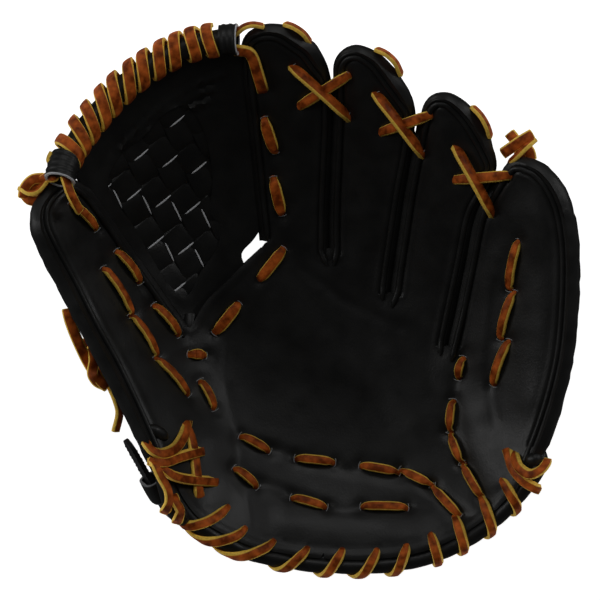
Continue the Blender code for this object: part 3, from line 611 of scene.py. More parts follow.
def palm_height(welts, free):
    """The relief of a front panel with those welted and free edges."""
    def height(x, y):
        r = np.min([to_line(x, y, line)[0] for line in welts], axis=0)
        z = pads(x, y) * (1 - bell(r, 5)) + puckers(x, y, ALL_STITCHES)
        for hx, hy in [(s[k], s[k + 1]) for s in TIP_STITCHES for k in (0, 2)]:
            z -= 1.4 * bell(np.hypot(x - hx, y - hy), 2.6)
        z += 0.5 * bell(r - 2.0, 1.3) - 0.35 * bell(r, 0.7) - 1.5 * np.exp(-r / 5.5)
        for line in free:
            r, _ = to_line(x, y, line)
            z += 0.3 * bell(r - 2.4, 1.4) - 0.3 * bell(r, 0.8) - 0.3 * bell(r - 5.4, 1.0)
        return z
    return height


def heel_line(first, last):
    """The heel's edge from one x to a lesser one."""
    line = spline(HEEL_EDGE, 1.0)
    return line[(line[:, 0] <= first) & (line[:, 0] >= last)]


def trimmed(edge, first_above, last_above):
    """A stall's edge with each half kept only where its plan y is above that half's own limit."""
    least = np.where(np.arange(len(edge)) < len(edge) // 2, first_above, last_above)
    return edge[edge[:, 1] > least]


def build_front():
    """The catching face, in two panels that meet out of sight along CUT."""
    index, middle, ring, thumb, little = map(stall_edge, (INDEX, MIDDLE, RING, THUMB, LITTLE))
    thumb, little = trimmed(thumb, -76, -13), trimmed(little, -25, -73)
    top = spline(PALM_TOP_EDGE, 1.5)
    heel_left, heel_right = heel_line(12, -61), heel_line(119, 12)
    cut = spline(CUT, 2.0)
    loop = np.vstack([heel_left[1:], thumb, top, index, cut[:-1]])
    skin("front_thumb_side", loop, palm_height([index, thumb], [top, heel_left]), THUMB_BEND,
         ("thumb_leather",))
    loop = np.vstack([cut[::-1], middle, ring, little, heel_right[:-1]])
    skin("front_little_side", loop, palm_height([middle, ring, little], [heel_right]),
         LITTLE_BEND, ("palm_leather", "little_leather"))


# ---------------------------------------------------------------- stalls and welts

def build_stall(name, outline, depths, hold, first=0, last=0, pairs=56):
    """The back and sides of a finger, with a gusset band and a rounded back."""
    m = 2 * pairs
    u = stations(outline, m)
    n = inward(u)
    here, inset = u[:, :2], u[:, 2]
    pair = from_ends(m)
    other = np.arange(m)[::-1]
    deep = np.interp(np.linspace(0, 1, pairs), np.linspace(0, 1, len(depths)), depths)[pair]
    middle = (here + here[other]) / 2
    tip = middle[pairs - 6]
    near_tip = pair > pairs - 6
    middle[near_tip] = tip + (here[near_tip] - tip) * 0.1
    top = bowl(here[:, 0], here[:, 1])
    centre_top = bowl(middle[:, 0], middle[:, 1])
    back = np.maximum(centre_top - deep, 0.6)
    side = np.maximum(back + 0.42 * (top - back), back + 3)
    rows = []

    def add(distance, z):
        rows.append(np.column_stack([here + n * np.asarray(distance)[:, None], z]))

    at = here + n * (inset + 2.5)[:, None]
    add(inset + 3.0, bowl(*at.T) - 3.0)
    add(inset + 1.6, bowl(*at.T) - 2.6)
    add(inset + 0.3, bowl(*(here + n * inset[:, None]).T) - 1.2)
    crumple = 0.45 * noise(here[:, 0], here[:, 1], 4.0, 11) * np.clip(inset / 3 - 1, 0, 1)
    for t in (0.25, 0.5, 0.75):
        add(inset * (1 - t) + crumple * t, top - 1.4 - (0.7 + 0.35 * inset) * t**1.5 + crumple)
    for t in (0.03, 0.15, 0.4, 0.7, 1.0):
        start = top - 2.1 - 0.35 * inset
        puff = np.where(inset < 2, 1.5, 0.35) * math.sin(math.pi * min(1, t * 1.2 + 0.12)) ** 0.4
        puff = puff - crumple * (1 - t)
        add(-puff, start + (side - start) * t)
    for t in np.linspace(0.12, 1, 9):
        angle = t * math.pi / 2
        f, g = (1 - math.cos(angle)) ** 1.15, math.sin(angle) ** 0.85
        rows.append(np.column_stack([here + (middle - here) * f, side + (back - side) * g]))
    station = np.arange(m)
    shut = (station < first) | (station >= m - last)
    low = rows[-3][:, 2]
    for k, row_points in enumerate(rows):
        row_points[shut, 2] = np.minimum(row_points[shut, 2], low[shut] + 1.0 - 0.02 * k)
        row_points[shut, :2] += (middle[shut] - row_points[shut, :2]) * 0.35
    points = np.stack(rows)
    wrinkle = 0.25 * noise(points[..., 0] + points[..., 2], points[..., 1], 9, 5)
    points[6:, :, 2] += wrinkle[6:]
    faces = grid_faces(len(rows), m)
    near, far = (len(rows) - 1) * m, len(rows) * m - 1
    for k in range(pairs - 1):
        faces.append((near + k + 1, far - k - 1, far - k, near + k))
    piece(name + "_shell", points.reshape(-1, 3), faces, LEATHER, hold, (name + "_stall",),
          modify=lambda obj: (weld(obj), thick(SHELL, even=False)(obj)), sharp=60)


def weld(obj):
    """Joins the points that meet along the stall's back."""
    mod = obj.modifiers.new("weld", "WELD")
    mod.merge_threshold = 0.00005


def welt_path(outline, distance, rise, first, last):
    """A line beside a stall's welt, from the first station to the last."""
    u = stations(outline, SEAM_STATIONS)[first:last]
    return raised(u[:, :2] + inward(u) * (u[:, 2:3] + distance), rise)


def build_welt(name, outline, hold, end=(), start=(), first=0, last=None):
    """The piping between front and side, with a hooked end where two fingers part."""
    path = welt_path(outline, WELT_MID, -1.3, first, last)
    path = np.vstack([part for part in (lifted(start), path, lifted(end)) if len(part)])
    path = spline(path[::3], 1.0)
    radius = 1.6 * np.clip(0.45 + from_ends(len(path)) / 6, 0, 1)
    tube(name + "_piping", path, radius, hold, (name + "_welt",), sides=12)


def build_band(name, outline, hold, first, last):
    """A second ridge outside the piping, along the gusset."""
    path = resample(welt_path(outline, -1.1, -1.0, first, last), 1.2)
    radius = 1.1 * np.clip(0.3 + from_ends(len(path)) / 12, 0, 1)
    tube(name + "_band", path, radius, hold, sides=10)


# ---------------------------------------------------------------- lacing

# Where each of a lace section's twelve points is pale: 1 is a cut side and 0 is the face.
EDGE_LACE = np.array([1, 1, 0.38, 0, 0, 0, 0.42, 1, 1, 0, 0, 0], float)


# Unequal cuts paint a highlight: the wider pale cut side stands for the side the light falls on, except
# on the bar's wraps, where it stands for a side turned up.
def lace_section(width, thickness, cuts=(0.3, 0.85)):
    """Twelve points round a lace: a face up, a face down and cut sides."""
    w, t = width / 2, thickness / 2
    c, e = cuts
    ring = [(w, -t + 0.3), (w, t - c), (w - c, t), (w * 0.5, t * 1.2), (0, t * 1.32),
            (-w * 0.5, t * 1.2), (-w + e, t), (-w, t - e), (-w, -t + 0.3), (-w + 0.3, -t),
            (0, -t), (w - 0.3, -t)]
    return np.array(ring[::-1])


def lace_mesh(path, across, width=LACE_WIDTH, thickness=LACE_THICK, narrow=None,
              cuts=(0.3, 0.85)):
    """Points, faces and edge values of one lace. narrow scales the width at each station."""
    n = len(path)
    base = lace_section(width, thickness, cuts)
    sections = np.broadcast_to(base, (n, *base.shape)).copy()
    if narrow is not None:
        sections[..., 0] *= narrow[:, None]
        sections[..., 1] *= (1 + 0.5 * (1 - narrow))[:, None]
    points = sweep_points(path, across, sections).reshape(-1, 3)
    sides = len(base)
    edge = np.tile(EDGE_LACE[::-1], n)
    edge[:sides] = edge[-sides:] = 1
    return points, capped(n, sides), edge


def bundle(name, parts, material, hold, nodes=()):
    """Several swept strips made one piece."""
    points, faces, edge, at = [], [], [], 0
    for p, f, e in parts:
        points.append(p)
        faces += [tuple(i + at for i in face) for face in f]
        edge.append(e)
        at += len(p)
    return piece(name, np.vstack(points), faces, material, hold, nodes,
                 attrs={"edge": np.hstack(edge)})


def lean(x, y, direction):
    """Across a strip that lies on the face and runs in this direction."""
    d = np.asarray(direction, float)
    flat = np.column_stack([d[..., 0], d[..., 1], np.zeros(len(d))])
    return unit(np.cross(flat, face_normal(x, y)))


def on_face(points, lifts):
    """Plan points lifted along the face's normal."""
    base = raised(points)
    return base + face_normal(base[:, 0], base[:, 1]) * np.asarray(lifts, float)[:, None]


def laid(path, width=LACE_WIDTH, pinches=(), thickness=LACE_THICK, turn=0.0, twist=0.0,
         cuts=(0.3, 0.85), pinch=0.42):
    """A lace along a 3-D path that keeps its face to the leather."""
    path = spline(path, 0.9)
    plan = np.gradient(path, axis=0)
    across = lean(path[:, 0], path[:, 1], plan)
    if turn or twist:
        t = np.linspace(0, 1, len(path))
        swing = turn + twist * np.sin(math.pi * t) ** 0.7
        along = unit(plan)
        up = np.cross(across, along)
        across = across * np.cos(swing)[:, None] + up * np.sin(swing)[:, None]
    narrow = np.ones(len(path))
    for hole in pinches:
        narrow -= pinch * bell(np.linalg.norm(path[:, :2] - hole[:2], axis=1), 3.0)
    return lace_mesh(path, across, width, thickness, np.clip(narrow, 0.52, 1), cuts)


# The unequal cuts make one pale cut side wider, as a painted highlight on the lit side.
def running(name, stitches, hold, nodes, crown=0.5, width=4.7, cuts=(0.3, 0.75)):
    """A lace over the face between each pair of holes and under it from pair to pair."""
    plan, lift = [], []
    dive = ((1.6, -4.6), (0.3, -2.0), (-0.9, 0.4), (-2.6, 1.1))
    for ax, ay, bx, by in stitches:
        a, b = np.array((ax, ay), float), np.array((bx, by), float)
        d = (b - a) / np.linalg.norm(b - a)
        a, b = a + d * 1.3, b - d * 1.3
        steps = [(a - d * out, high) for out, high in dive]
        steps += [(a + (b - a) * t, 1.1 + crown) for t in (0.35, 0.5, 0.65)]
        steps += [(b + d * out, high) for out, high in dive[::-1]]
        plan += [p for p, _ in steps]
        lift += [h for _, h in steps]
    path = on_face(plan, lift)
    holes = [np.array(s[k:k + 2]) for s in stitches for k in (0, 2)]
    return bundle(name, [laid(path, width, holes, cuts=cuts)], LACE, hold, nodes)


def rims(name, holes, hold):
    """The pale cut rims of the lace holes: (x, y, direction the lace leaves in)."""
    parts = []
    steps, sides = 13, 6
    turn = np.linspace(-1.25, 1.25, steps)
    lift = np.full(steps, 0.12 - 0.75 * bell(1.2, 2.6))
    for x, y, dx, dy in holes:
        d = np.array([dx, dy]) / math.hypot(dx, dy)
        side = np.array([d[1], -d[0]])
        plan = [np.array([x, y]) - d * (0.7 * math.cos(t) - 0.2) + side * 2.1 * math.sin(t)
                for t in turn]
        path = on_face(plan, lift)
        points = sweep_points(path, level_across(path), 0.19 * circle(sides)).reshape(-1, 3)
        parts.append((points, capped(steps, sides), np.full(len(points), 0.47)))
    return bundle(name, parts, LEATHER, hold, ())


def ends_of(stitches):
    """Both holes of each stitch, with the direction in which the lace leaves them."""
    out = []
    for ax, ay, bx, by in stitches:
        out += [(ax, ay, bx - ax, by - ay), (bx, by, ax - bx, ay - by)]
    return out


def build_lacing():
    """The laces that run over the face, and the rims of their holes."""
    running("lace_palm_upper", PALM_LACE_UPPER, LITTLE_BEND, ("palm_lace_upper",))
    running("lace_palm_lower", PALM_LACE_LOWER, THUMB_BEND, ("palm_lace_lower",))
    running("lace_hinge", HINGE_LACE, LITTLE_BEND, ("little_hinge_lace",), cuts=(0.95, 0.25))
    running("lace_web_base", WEB_BASE_LACE + [WEB_BASE_LAST], THUMB_BEND, ("web_base_lace",),
            width=5.9)
    running("lace_thumb_web", THUMB_WEB_LACE, "thumb", ("thumb_web_lace",), crown=0.9)
    running("lace_thumb_base", THUMB_BASE_LACE, THUMB_BEND, ("thumb_base_lace",), width=4.6)
    running("lace_thumb_stall", THUMB_STALL_LACE, "thumb", ("thumb_stall_lace",), crown=1.1)
    running("lace_little_stall", LITTLE_STALL_LACE, "little", ("little_stall_lace",), crown=1.1)
    rims("rims_thumb_side", ends_of(PALM_LACE_LOWER + WEB_BASE_LACE + [WEB_BASE_LAST]
                                    + THUMB_WEB_LACE + THUMB_BASE_LACE + THUMB_STALL_LACE
                                    + WEB_INDEX_LACE[1:]), THUMB_BEND)
    rims("rims_little_side", ends_of(PALM_LACE_UPPER + HINGE_LACE + LITTLE_STALL_LACE), LITTLE_BEND)
    running("lace_web_index", WEB_INDEX_LACE[1:], "hand", ("web_index_lace",), width=5.9)
    top = lifted([(-33, 124.5, 1.0), (-29, 124.3, 2.4), (-25.5, 123.3, 2.4), (-23.4, 120.5, 2.0),
                  (-21.6, 115, 1.7), (-19.8, 109, 1.3), (-18.9, 106, 0.2), (-18.3, 104.2, -3.5)])
    bundle("lace_web_index_top", [laid(top, 5.9)], LACE, "hand")


# The lower and the upper lace of a crossing: how high it bows, its turn and twist, its cuts (the lower
# lace's wider pale cut side is a painted highlight) and its thickness.
CROSSED = ((1.9, 0, -0.3, (0.3, 0.9), 2.1), (4.1, 0.95, 0.4, (0.3, 0.3), 2.5))


def crossing(name, stitches, hold, nodes):
    """Two laces crossed between neighbouring fingertips."""
    parts = []
    for (ax, ay, bx, by), (bow, turn, twist, cuts, thickness) in zip(stitches[::-1], CROSSED):
        a, b = np.array((ax, ay), float), np.array((bx, by), float)
        d = (b - a) / np.linalg.norm(b - a)
        za, zb = float(bowl(*a)), float(bowl(*b))
        path = [(*(a - d * 1.5), za - 4.5), (*(a - d * 0.2), za - 1.2)]
        for t in (0.1, 0.3, 0.5, 0.7, 0.9):
            bump = bow * math.sin(math.pi * t) ** 0.6 + 0.6
            path.append((*(a + (b - a) * t), za + (zb - za) * t + bump))
        path += [(*(b + d * 0.2), zb - 1.2), (*(b + d * 1.5), zb - 4.5)]
        parts.append(laid(path, 5.6, [a, b], thickness, turn, twist, cuts, 0.16))
    bundle(name, parts, LACE, hold, nodes)


def build_crossings():
    crossing("lace_index_tips", TIP_LACE_INDEX, "hand", ("index_tip_lace",))
    crossing("lace_middle_tips", TIP_LACE_MIDDLE, "hand", ("middle_tip_lace",))
    crossing("lace_ring_tips", TIP_LACE_RING, RING_TIP_BEND, ("ring_tip_lace",))
    rims("rims_tips", ends_of(TIP_STITCHES[:4]), "hand")


# ---------------------------------------------------------------- heel

ROLL_OUT = 3.6  # from the heel's edge out to the middle of its binding
ROLL_RADIUS = 3.8
ROLL_DROP = 3.2  # from the catching face down to the middle of the binding


def build_heel():
    """The rolled binding of the heel, squeezed where each lace turns over it, and its seam."""
    line = spline(HEEL_EDGE, 1.0)
    out = line - inward(line) * ROLL_OUT
    z = bowl(line[:, 0], line[:, 1]) - ROLL_DROP
    radius = ROLL_RADIUS + 0.15 * noise(line[:, 0], line[:, 1], 6, 8)
    for hole, tip, _ in HEEL_LOOPS:
        middle = np.array(hole) * 0.35 + np.array(tip) * 0.65
        radius = radius - 0.45 * bell(np.linalg.norm(out - middle, axis=1), 3.2)
    radius = radius * np.sqrt(np.clip((from_ends(len(line)) + 0.5) / 7, 0, 1))
    roll, seam = np.column_stack([out, z]), np.column_stack([line - inward(line) * 0.3, z + 0.3])
    for side, keep, hold, node in heel_sides(line[:, 0]):
        tube("heel_binding_" + side, roll[keep], radius[keep], hold, (node,), sides=18)
        tube("heel_seam_" + side, seam[keep], 1.8, hold)


def heel_sides(x):
    """The heel's two halves, which overlap a little: name, places, hold and node."""
    return (("little_side", x >= 13, LITTLE_BEND, "heel_roll"),
            ("thumb_side", x <= 15, THUMB_BEND, "heel_roll_thumb"))


# Loops round the heel: the hole, the outermost place, and how late the lace turns along the roll.
HEEL_LOOPS = [
    ((-36.5, -103.5), (-56.3, -107), 1.5), ((-28.3, -114.5), (-51.5, -116.5), 1.6),
    ((-13.5, -121), (-38, -128), 1.3), ((4.2, -124.7), (-10, -134.8), 1.1),
    ((21.7, -125.3), (11.3, -137.3), 1.1), ((38.5, -125.3), (29, -138), 1.1),
    ((53.8, -122.5), (47.3, -136.3), 1.0), ((65.5, -117), (69.5, -132), 1.0),
    ((77.7, -108.8), (81.5, -126), 1.0), ((91, -99.3), (96, -118), 1.0),
    ((100.8, -89.8), (108.8, -106.3), 1.0),
]


def loop_path(hole, tip, late):
    """A lace up through its hole, over the binding and under it, with its face's normals."""
    line = spline(HEEL_EDGE, 1.0)
    out = -inward(line)
    hole, tip = np.array(hole, float), np.array(tip, float)
    near = np.linalg.norm(line - hole, axis=1)
    start, depth = near.argmin(), near.min()
    stop = np.linalg.norm(line + out * (ROLL_OUT + ROLL_RADIUS) - tip, axis=1).argmin()
    reach = ROLL_RADIUS + 1.0
    whole = depth + ROLL_OUT + reach * math.pi / 2

    def edge_at(gone):
        """The heel's edge and its outward normal when this share of the lace is laid."""
        place = start + (stop - start) * np.sign(gone) * abs(gone) ** late
        index = np.clip(place, 0, len(line) - 1.001)
        k, f = int(index), index - int(index)
        return line[k] * (1 - f) + line[k + 1] * f, out[k] * (1 - f) + out[k + 1] * f

    path, normals = [], []
    for along, lift in ((-depth - 1.2, -4.5), (-depth - 0.2, -1.4), (-depth + 1.3, 0.9),
                        (-depth * 0.55, 1.45), (-depth * 0.1, 1.5)):
        base, n = edge_at((depth + along) / whole)
        spot = base + n * along
        path.append((*spot, float(bowl(*spot)) + lift))
        normals.append(face_normal(*spot))
    for degrees in (90, 65, 40, 15, -10, -40, -75):
        a = math.radians(degrees)
        base, n = edge_at((depth + ROLL_OUT + reach * (math.pi / 2 - a)) / whole)
        spot = base + n * (ROLL_OUT + reach * math.cos(a))
        path.append((*spot, float(bowl(*base)) - ROLL_DROP + reach * math.sin(a)))
        normals.append(np.array([*(n * math.cos(a)), math.sin(a)]))
    return np.array(path), np.array(normals)


def wrapped(path, normals, cuts, pinch):
    """A lace along a path with its face along the given normals."""
    both = spline(np.hstack([path, normals]), 0.9)
    path, normals = both[:, :3], unit(both[:, 3:])
    across = np.cross(unit(np.gradient(path, axis=0)), normals)
    narrow = 1 - 0.3 * bell(np.linalg.norm(path[:, :2] - pinch, axis=1), 3.0)
    return lace_mesh(path, across, 5.2, LACE_THICK, narrow, cuts)


def build_heel_lace():
    """The loops round the heel, with the lace that joins each to the next underneath."""
    parts, thumb_parts = [], []
    for k, (hole, tip, late) in enumerate(HEEL_LOOPS):
        path, normals = loop_path(hole, tip, late)
        mine = thumb_parts if k < 3 else parts
        # The side with the wider pale cut, a painted highlight on the side the light falls on, changes
        # from the thumb to the little finger.
        cuts = (1.1, 0.3) if k < 3 else (0.75, 0.8) if k < 6 else (0.35, 1.15)
        mine.append(wrapped(path, normals, cuts, np.array(hole)))
        if k + 1 < len(HEEL_LOOPS):
            nxt = np.array(HEEL_LOOPS[k + 1][0], float)
            low = float(bowl(*nxt)) - 5.6
            back = [path[-1], (path[-1] + (*nxt, low)) / 2 + (0, 0, -1.5), (*nxt, low)]
            mine.append(laid(back, 5.0))
    bundle("lace_heel", parts, LACE, LITTLE_BEND, ("heel_lace",))
    bundle("lace_heel_thumb_side", thumb_parts, LACE, THUMB_BEND, ("heel_lace_thumb",))
    rims("rims_heel", [(*h, t[0] - h[0], t[1] - h[1]) for h, t, _ in HEEL_LOOPS[1:]], LITTLE_BEND)


def tied(name, laces, hold, width):
    """Laces given as points with a rise above the face, and how their sides are cut; the wider pale cut
    side is a painted highlight.
    """
    parts = [laid(lifted(points), width, cuts=cuts) for points, cuts in laces]
    return bundle(name, parts, LACE, hold)


def build_corner():
    """The lacing that gathers the thumb's end and the little finger's end at the heel."""
    tied("lace_thumb_corner", [
        ([(-56.8, -60.5, -5), (-56.9, -62.2, 0.5), (-58.3, -68, 2.4), (-62.5, -74, 4.4),
          (-68.5, -76.5, 5), (-73.5, -75, 3.6), (-76.5, -71.3, 0), (-77.5, -69, -5)],
         (1.4, 0.3)),
        ([(-58, -60.8, -5), (-57.2, -63, 1), (-54.3, -70, 1.6), (-52.4, -81.3, 1.5),
          (-50.8, -95, 1.5), (-50.4, -99.5, -3)], (0.7, 0.3)),
        ([(-48.5, -75.3, -4), (-50.5, -75.8, 2.6), (-60, -78.3, 5.2), (-66.5, -80.5, 6.0),
          (-71.5, -80.6, 4.4), (-75, -80, -1)], (2.1, 0.3)),
        ([(-40.5, -90.6, -4), (-43, -90.8, 1.2), (-53.8, -89.8, 4.4), (-61.3, -88.2, 6.0),
          (-66, -85.8, 6.2), (-69.5, -82.5, 2)], (2.1, 0.3)),
        ([(-73.5, -79.5, -1), (-72, -82, 4.6), (-69.5, -87.5, 6.4), (-66, -93.8, 6.4),
          (-65, -100, 5), (-66.3, -104, 1), (-67.5, -106, -4)], (0.3, 1.7)),
        ([(-63.5, -97.5, -2), (-62, -100.8, 4), (-59.7, -105, 3.4), (-60.5, -108.8, 0),
          (-61.5, -111, -5)], (0.3, 0.9)),
    ], "thumb", 5.6)
    tied("lace_little_corner", [
        ([(106.5, -75.6, -4), (107.2, -78, 1.0), (109.5, -83.5, 3.6), (114.5, -86.8, 4.6),
          (119.5, -85, 3.0), (122.3, -82, -1), (123.2, -80, -5)], (0.3, 1.4)),
        ([(103.6, -74, -4), (104.2, -76.5, 1.0), (106.3, -83.8, 2.4), (111.3, -90, 3.0),
          (117, -93.6, 0.4), (119.5, -94.6, -4)], (0.3, 1.4)),
    ], "little", 5.2)
    for name, place, spot in (("cap_thumb", (-76, -63.5), (-66.5, -69.5)),
                              ("cap_little", (113.5, -80.5), (120.5, -79))):
        a, b = np.array(place, float), np.array(spot, float)
        t = np.linspace(0, 1, 25)
        radius = 3.7 * np.sqrt(np.clip(1 - np.abs(2 * t - 1) ** 2.6, 0.01, 1))
        tube(name, raised(a + (b - a) * t[:, None], -1.9), radius, name.split("_")[1], sides=20)
    for hold, route in (("thumb", [(-68.5, -84), (-66.5, -94), (-63, -104), (-56.5, -112)]),
                        ("little", [(121, -74), (117.5, -84), (110, -94.5)])):
        path = spline(raised(route, -6.5), 1.0)
        radius = 4.6 * np.sqrt(np.clip((from_ends(len(path)) + 0.3) / 5, 0, 1))
        tube("corner_gusset_" + hold, path, radius, hold, sides=18)


def build_plugs():
    """Small leather gussets where two finger seams end, and at the crotch of the thumb."""
    places = ((14.7, 21.3, 4.5, "hand"), (45, -1, 4.5, "hand"), (74.5, -28, 4.5, "hand"),
              (-55.5, -13.5, 5.5, THUMB_BEND))
    for k, (x, y, reach, hold) in enumerate(places):
        path = lifted([(x, y - reach, -6.5), (x, y, -5.4), (x, y + reach, -6.5)])
        tube("seam_gusset_%d" % (k + 1), spline(path, 1.0), 4.2, hold, sides=16)


# ---------------------------------------------------------------- web

WEB_FRAME = [
    (-19.5, 36), (-20, 60), (-23.5, 90), (-27, 112), (-30.5, 126), (-40, 127), (-52.8, 124),
    (-67.2, 117), (-81.5, 106.3), (-94.3, 94), (-105, 80.5), (-112.2, 68), (-109, 58), (-98, 44),
    (-84, 24), (-69, 0), (-62, -14), (-52, -10), (-39, 2), (-28, 14), (-29.4, 23.2), (-23.8, 29.8),
]
WEB_WINDOW = [(-39, 38), (-45, 44), (-44, 62), (-48, 84), (-57, 97), (-69, 92), (-78, 82),
              (-90, 72), (-96, 60), (-93, 50), (-84, 38), (-76, 24), (-66, 8), (-57, 2), (-50, 14),
              (-42, 26)]
# The weave's lattice: where two straps cross, and the steps along either kind of strap.
WEAVE_ORIGIN = np.array((-67.5, 71.7))
WEAVE_A = np.array((8.6, 8.2))
WEAVE_B = np.array((5.3, -11.4))
BAR_PATH = [
    (-31, 129.8, 102), (-38, 129.5, 101), (-53, 127, 99), (-67.6, 120.8, 98), (-83.2, 110.5, 98),
    (-96.5, 97.9, 99), (-108.4, 83, 102), (-114.6, 73.4, 106), (-117.8, 66, 110),
    (-119.5, 59.5, 113),
]
BAR_RADIUS = 5.6
# How far each turn of lace leans along the bar, from the index end to the thumb end.
WRAP_LEAN = [-3.2, -1.8, 0.3, 1.9, 2.6, 3.0, 3.4, 3.8, 3.4, 2.4, 1.2, 0.6]
WEB_RIDGES = [[(-38, 113), (-50, 108.5), (-66, 99), (-79, 87), (-90, 74)],
              [(-43, 106), (-54, 102), (-66, 94), (-77, 83), (-86, 72)],
              [(-46, 99), (-56, 95.5), (-66, 88)]]


def web_height(x, y):
    """The web's relief under the catching face, with its sewn ridges and a rim at the window."""
    z = -4.6 + 0.35 * noise(x, y, 12, 3)
    for line in WEB_RIDGES:
        r, _ = to_line(x, y, line)
        z += 1.5 * bell(r, 1.3) - 0.9 * bell(r - 3.0, 1.1)
    window = np.array(WEB_WINDOW + WEB_WINDOW[:1], float)
    r, _ = to_line(x, y, window)
    return z + 0.7 * bell(r - 2.6, 2.0)


def build_web_frame():
    """The web's plain leather, with a window for the weave. Returns the window's outline."""
    outer = resample(spline(WEB_FRAME + WEB_FRAME[:1], 1.5), 1.8)[:-1]
    hole = resample(spline(WEB_WINDOW + WEB_WINDOW[:1], 1.5), 1.8)[:-1]
    grid = hex_grid(outer.min(0), outer.max(0), 2.2)
    for loop in (outer, hole):
        grid = grid[to_line(grid[:, 0], grid[:, 1], np.vstack([loop, loop[:1]]))[0] > 1.2]
    grid = grid[inside(grid, outer) & ~inside(grid, hole)]
    flat, faces = triangles([outer, hole], grid)
    faces = [f for f in faces if not inside(flat[list(f)].mean(0)[None], hole)[0]]
    piece("web_panel", raised(flat, web_height(flat[:, 0], flat[:, 1])), faces, LEATHER, WEB_BEND,
          ("web_frame",), modify=thick(SHELL))
    return hole


def painted_edge_highlight(centre, direction, length, radius):
    """A thin pale sliver in the raw edge colour: a painted highlight where a strap's cut edge catches
    the light.
    """
    steps, sides = 13, 8
    t = np.linspace(-1, 1, steps)
    plan = centre + direction * (t * length / 2)[:, None]
    fade = np.sqrt(np.clip(1 - np.abs(t) ** 3, 0.02, 1))
    across = lean(plan[:, 0], plan[:, 1], np.tile(direction, (steps, 1)))
    points = sweep_points(on_face(plan, -4.5 - 0.5 * t**2), across,
                          radius * circle(sides, 0.6)[None] * fade[:, None, None])
    return points.reshape(-1, 3), capped(steps, sides), np.ones(steps * sides)


def weave_runs(step, other, grown):
    """The straps of one kind: lattice number, places along and plan points, over the window."""
    t = np.arange(-9, 9.001, 0.1)
    runs = []
    for k in range(-8, 9):
        line = WEAVE_ORIGIN + other * k + step * t[:, None]
        ok = inside(line, grown)
        if ok.sum() >= 5:
            first, last = np.argmax(ok), len(ok) - 1 - np.argmax(ok[::-1])
            runs.append((k, t[first:last + 1], line[first:last + 1]))
    return runs


def weave_strap(t, k, line, step, gap, phase):
    """Points of one strap, which goes over and under the others and dives at both ends."""
    wave = np.cos(math.pi * (t + k + phase))
    lift = -6.0 + 0.8 * np.sign(wave) * np.abs(wave) ** 0.5
    from_end = np.minimum(t - t[0], t[-1] - t) * np.linalg.norm(step)
    path = on_face(line, np.where(from_end < 3.5, -7.6, lift))
    across = lean(line[:, 0], line[:, 1], np.tile(step, (len(line), 1)))
    w, h = gap / 2 + 0.05, 0.65
    half = [(w + 0.75, -h), (w + 0.1, h - 0.45), (w - 0.35, h), (w - 0.47, h + 0.02)]
    ring = np.array(half + [(0, h + 0.35)] + [(-x, y) for x, y in half[::-1]])[::-1]
    sections = np.broadcast_to(ring, (len(path), *ring.shape)).copy()
    sections[..., 0] /= np.hypot(across[:, 0], across[:, 1])[:, None]
    return sweep_points(path, across, sections)


def build_weave(hole):
    """Straps woven over and under, with pale slivers along some of their cut edges as painted
    highlights where the edges catch the light.
    """
    near = spline(np.vstack([hole, hole[:1]])[::4], 2.0)
    into = inward(near)
    way_in = 1 if inside((near[5] + into[5])[None], hole)[0] else -1
    grown = near - way_in * into * 6.0
    slivers = []
    # Kind, steps along and across, phase, side of the painted edge highlight, its swing, length and
    # radius.
    kinds = (("a", WEAVE_A, WEAVE_B, 0, 1, -4, 9.5, 0.5), ("b", WEAVE_B, WEAVE_A, 1, -1, 0, 10.5, 0.42))
    for kind, step, other, phase, sign, degrees, length, radius in kinds:
        gap = abs(step[0] * other[1] - step[1] * other[0]) / np.linalg.norm(step)
        runs = weave_runs(step, other, grown)
        right = unit((step[1], -step[0])) * (gap / 2 - 0.1) * sign
        c, s = math.cos(math.radians(degrees)), math.sin(math.radians(degrees))
        way = unit(step) @ np.array([[c, s], [-s, c]])
        for k, t, _ in runs:
            for n in range(math.ceil(t[0]), math.floor(t[-1]) + 1):
                centre = WEAVE_ORIGIN + other * k + step * n + right
                # Painted highlight: a pale sliver on one cut edge of each strap where it passes over.
                shown = inside(centre[None], hole)[0] and (kind == "a" or centre[1] < 57)
                if shown and (n + k + phase) % 2 == 0:
                    slivers.append(painted_edge_highlight(centre, way, length, radius))
        names = ["weave_strap_%s%d" % (kind, i + 1) for i in range(5 if kind == "a" else 4)]
        for number, (k, t, line) in enumerate(runs):
            points = weave_strap(t, k, line, step, gap, phase)
            last = number == len(runs) - 1
            nodes = names[number:] if last else names[number:number + 1]
            piece("weave_%s_%d" % (kind, number), points.reshape(-1, 3), capped(*points.shape[:2]),
                  LEATHER, WEB_BEND, tuple(nodes))
    bundle("weave_cut_edges", slivers, LEATHER, WEB_BEND, ())


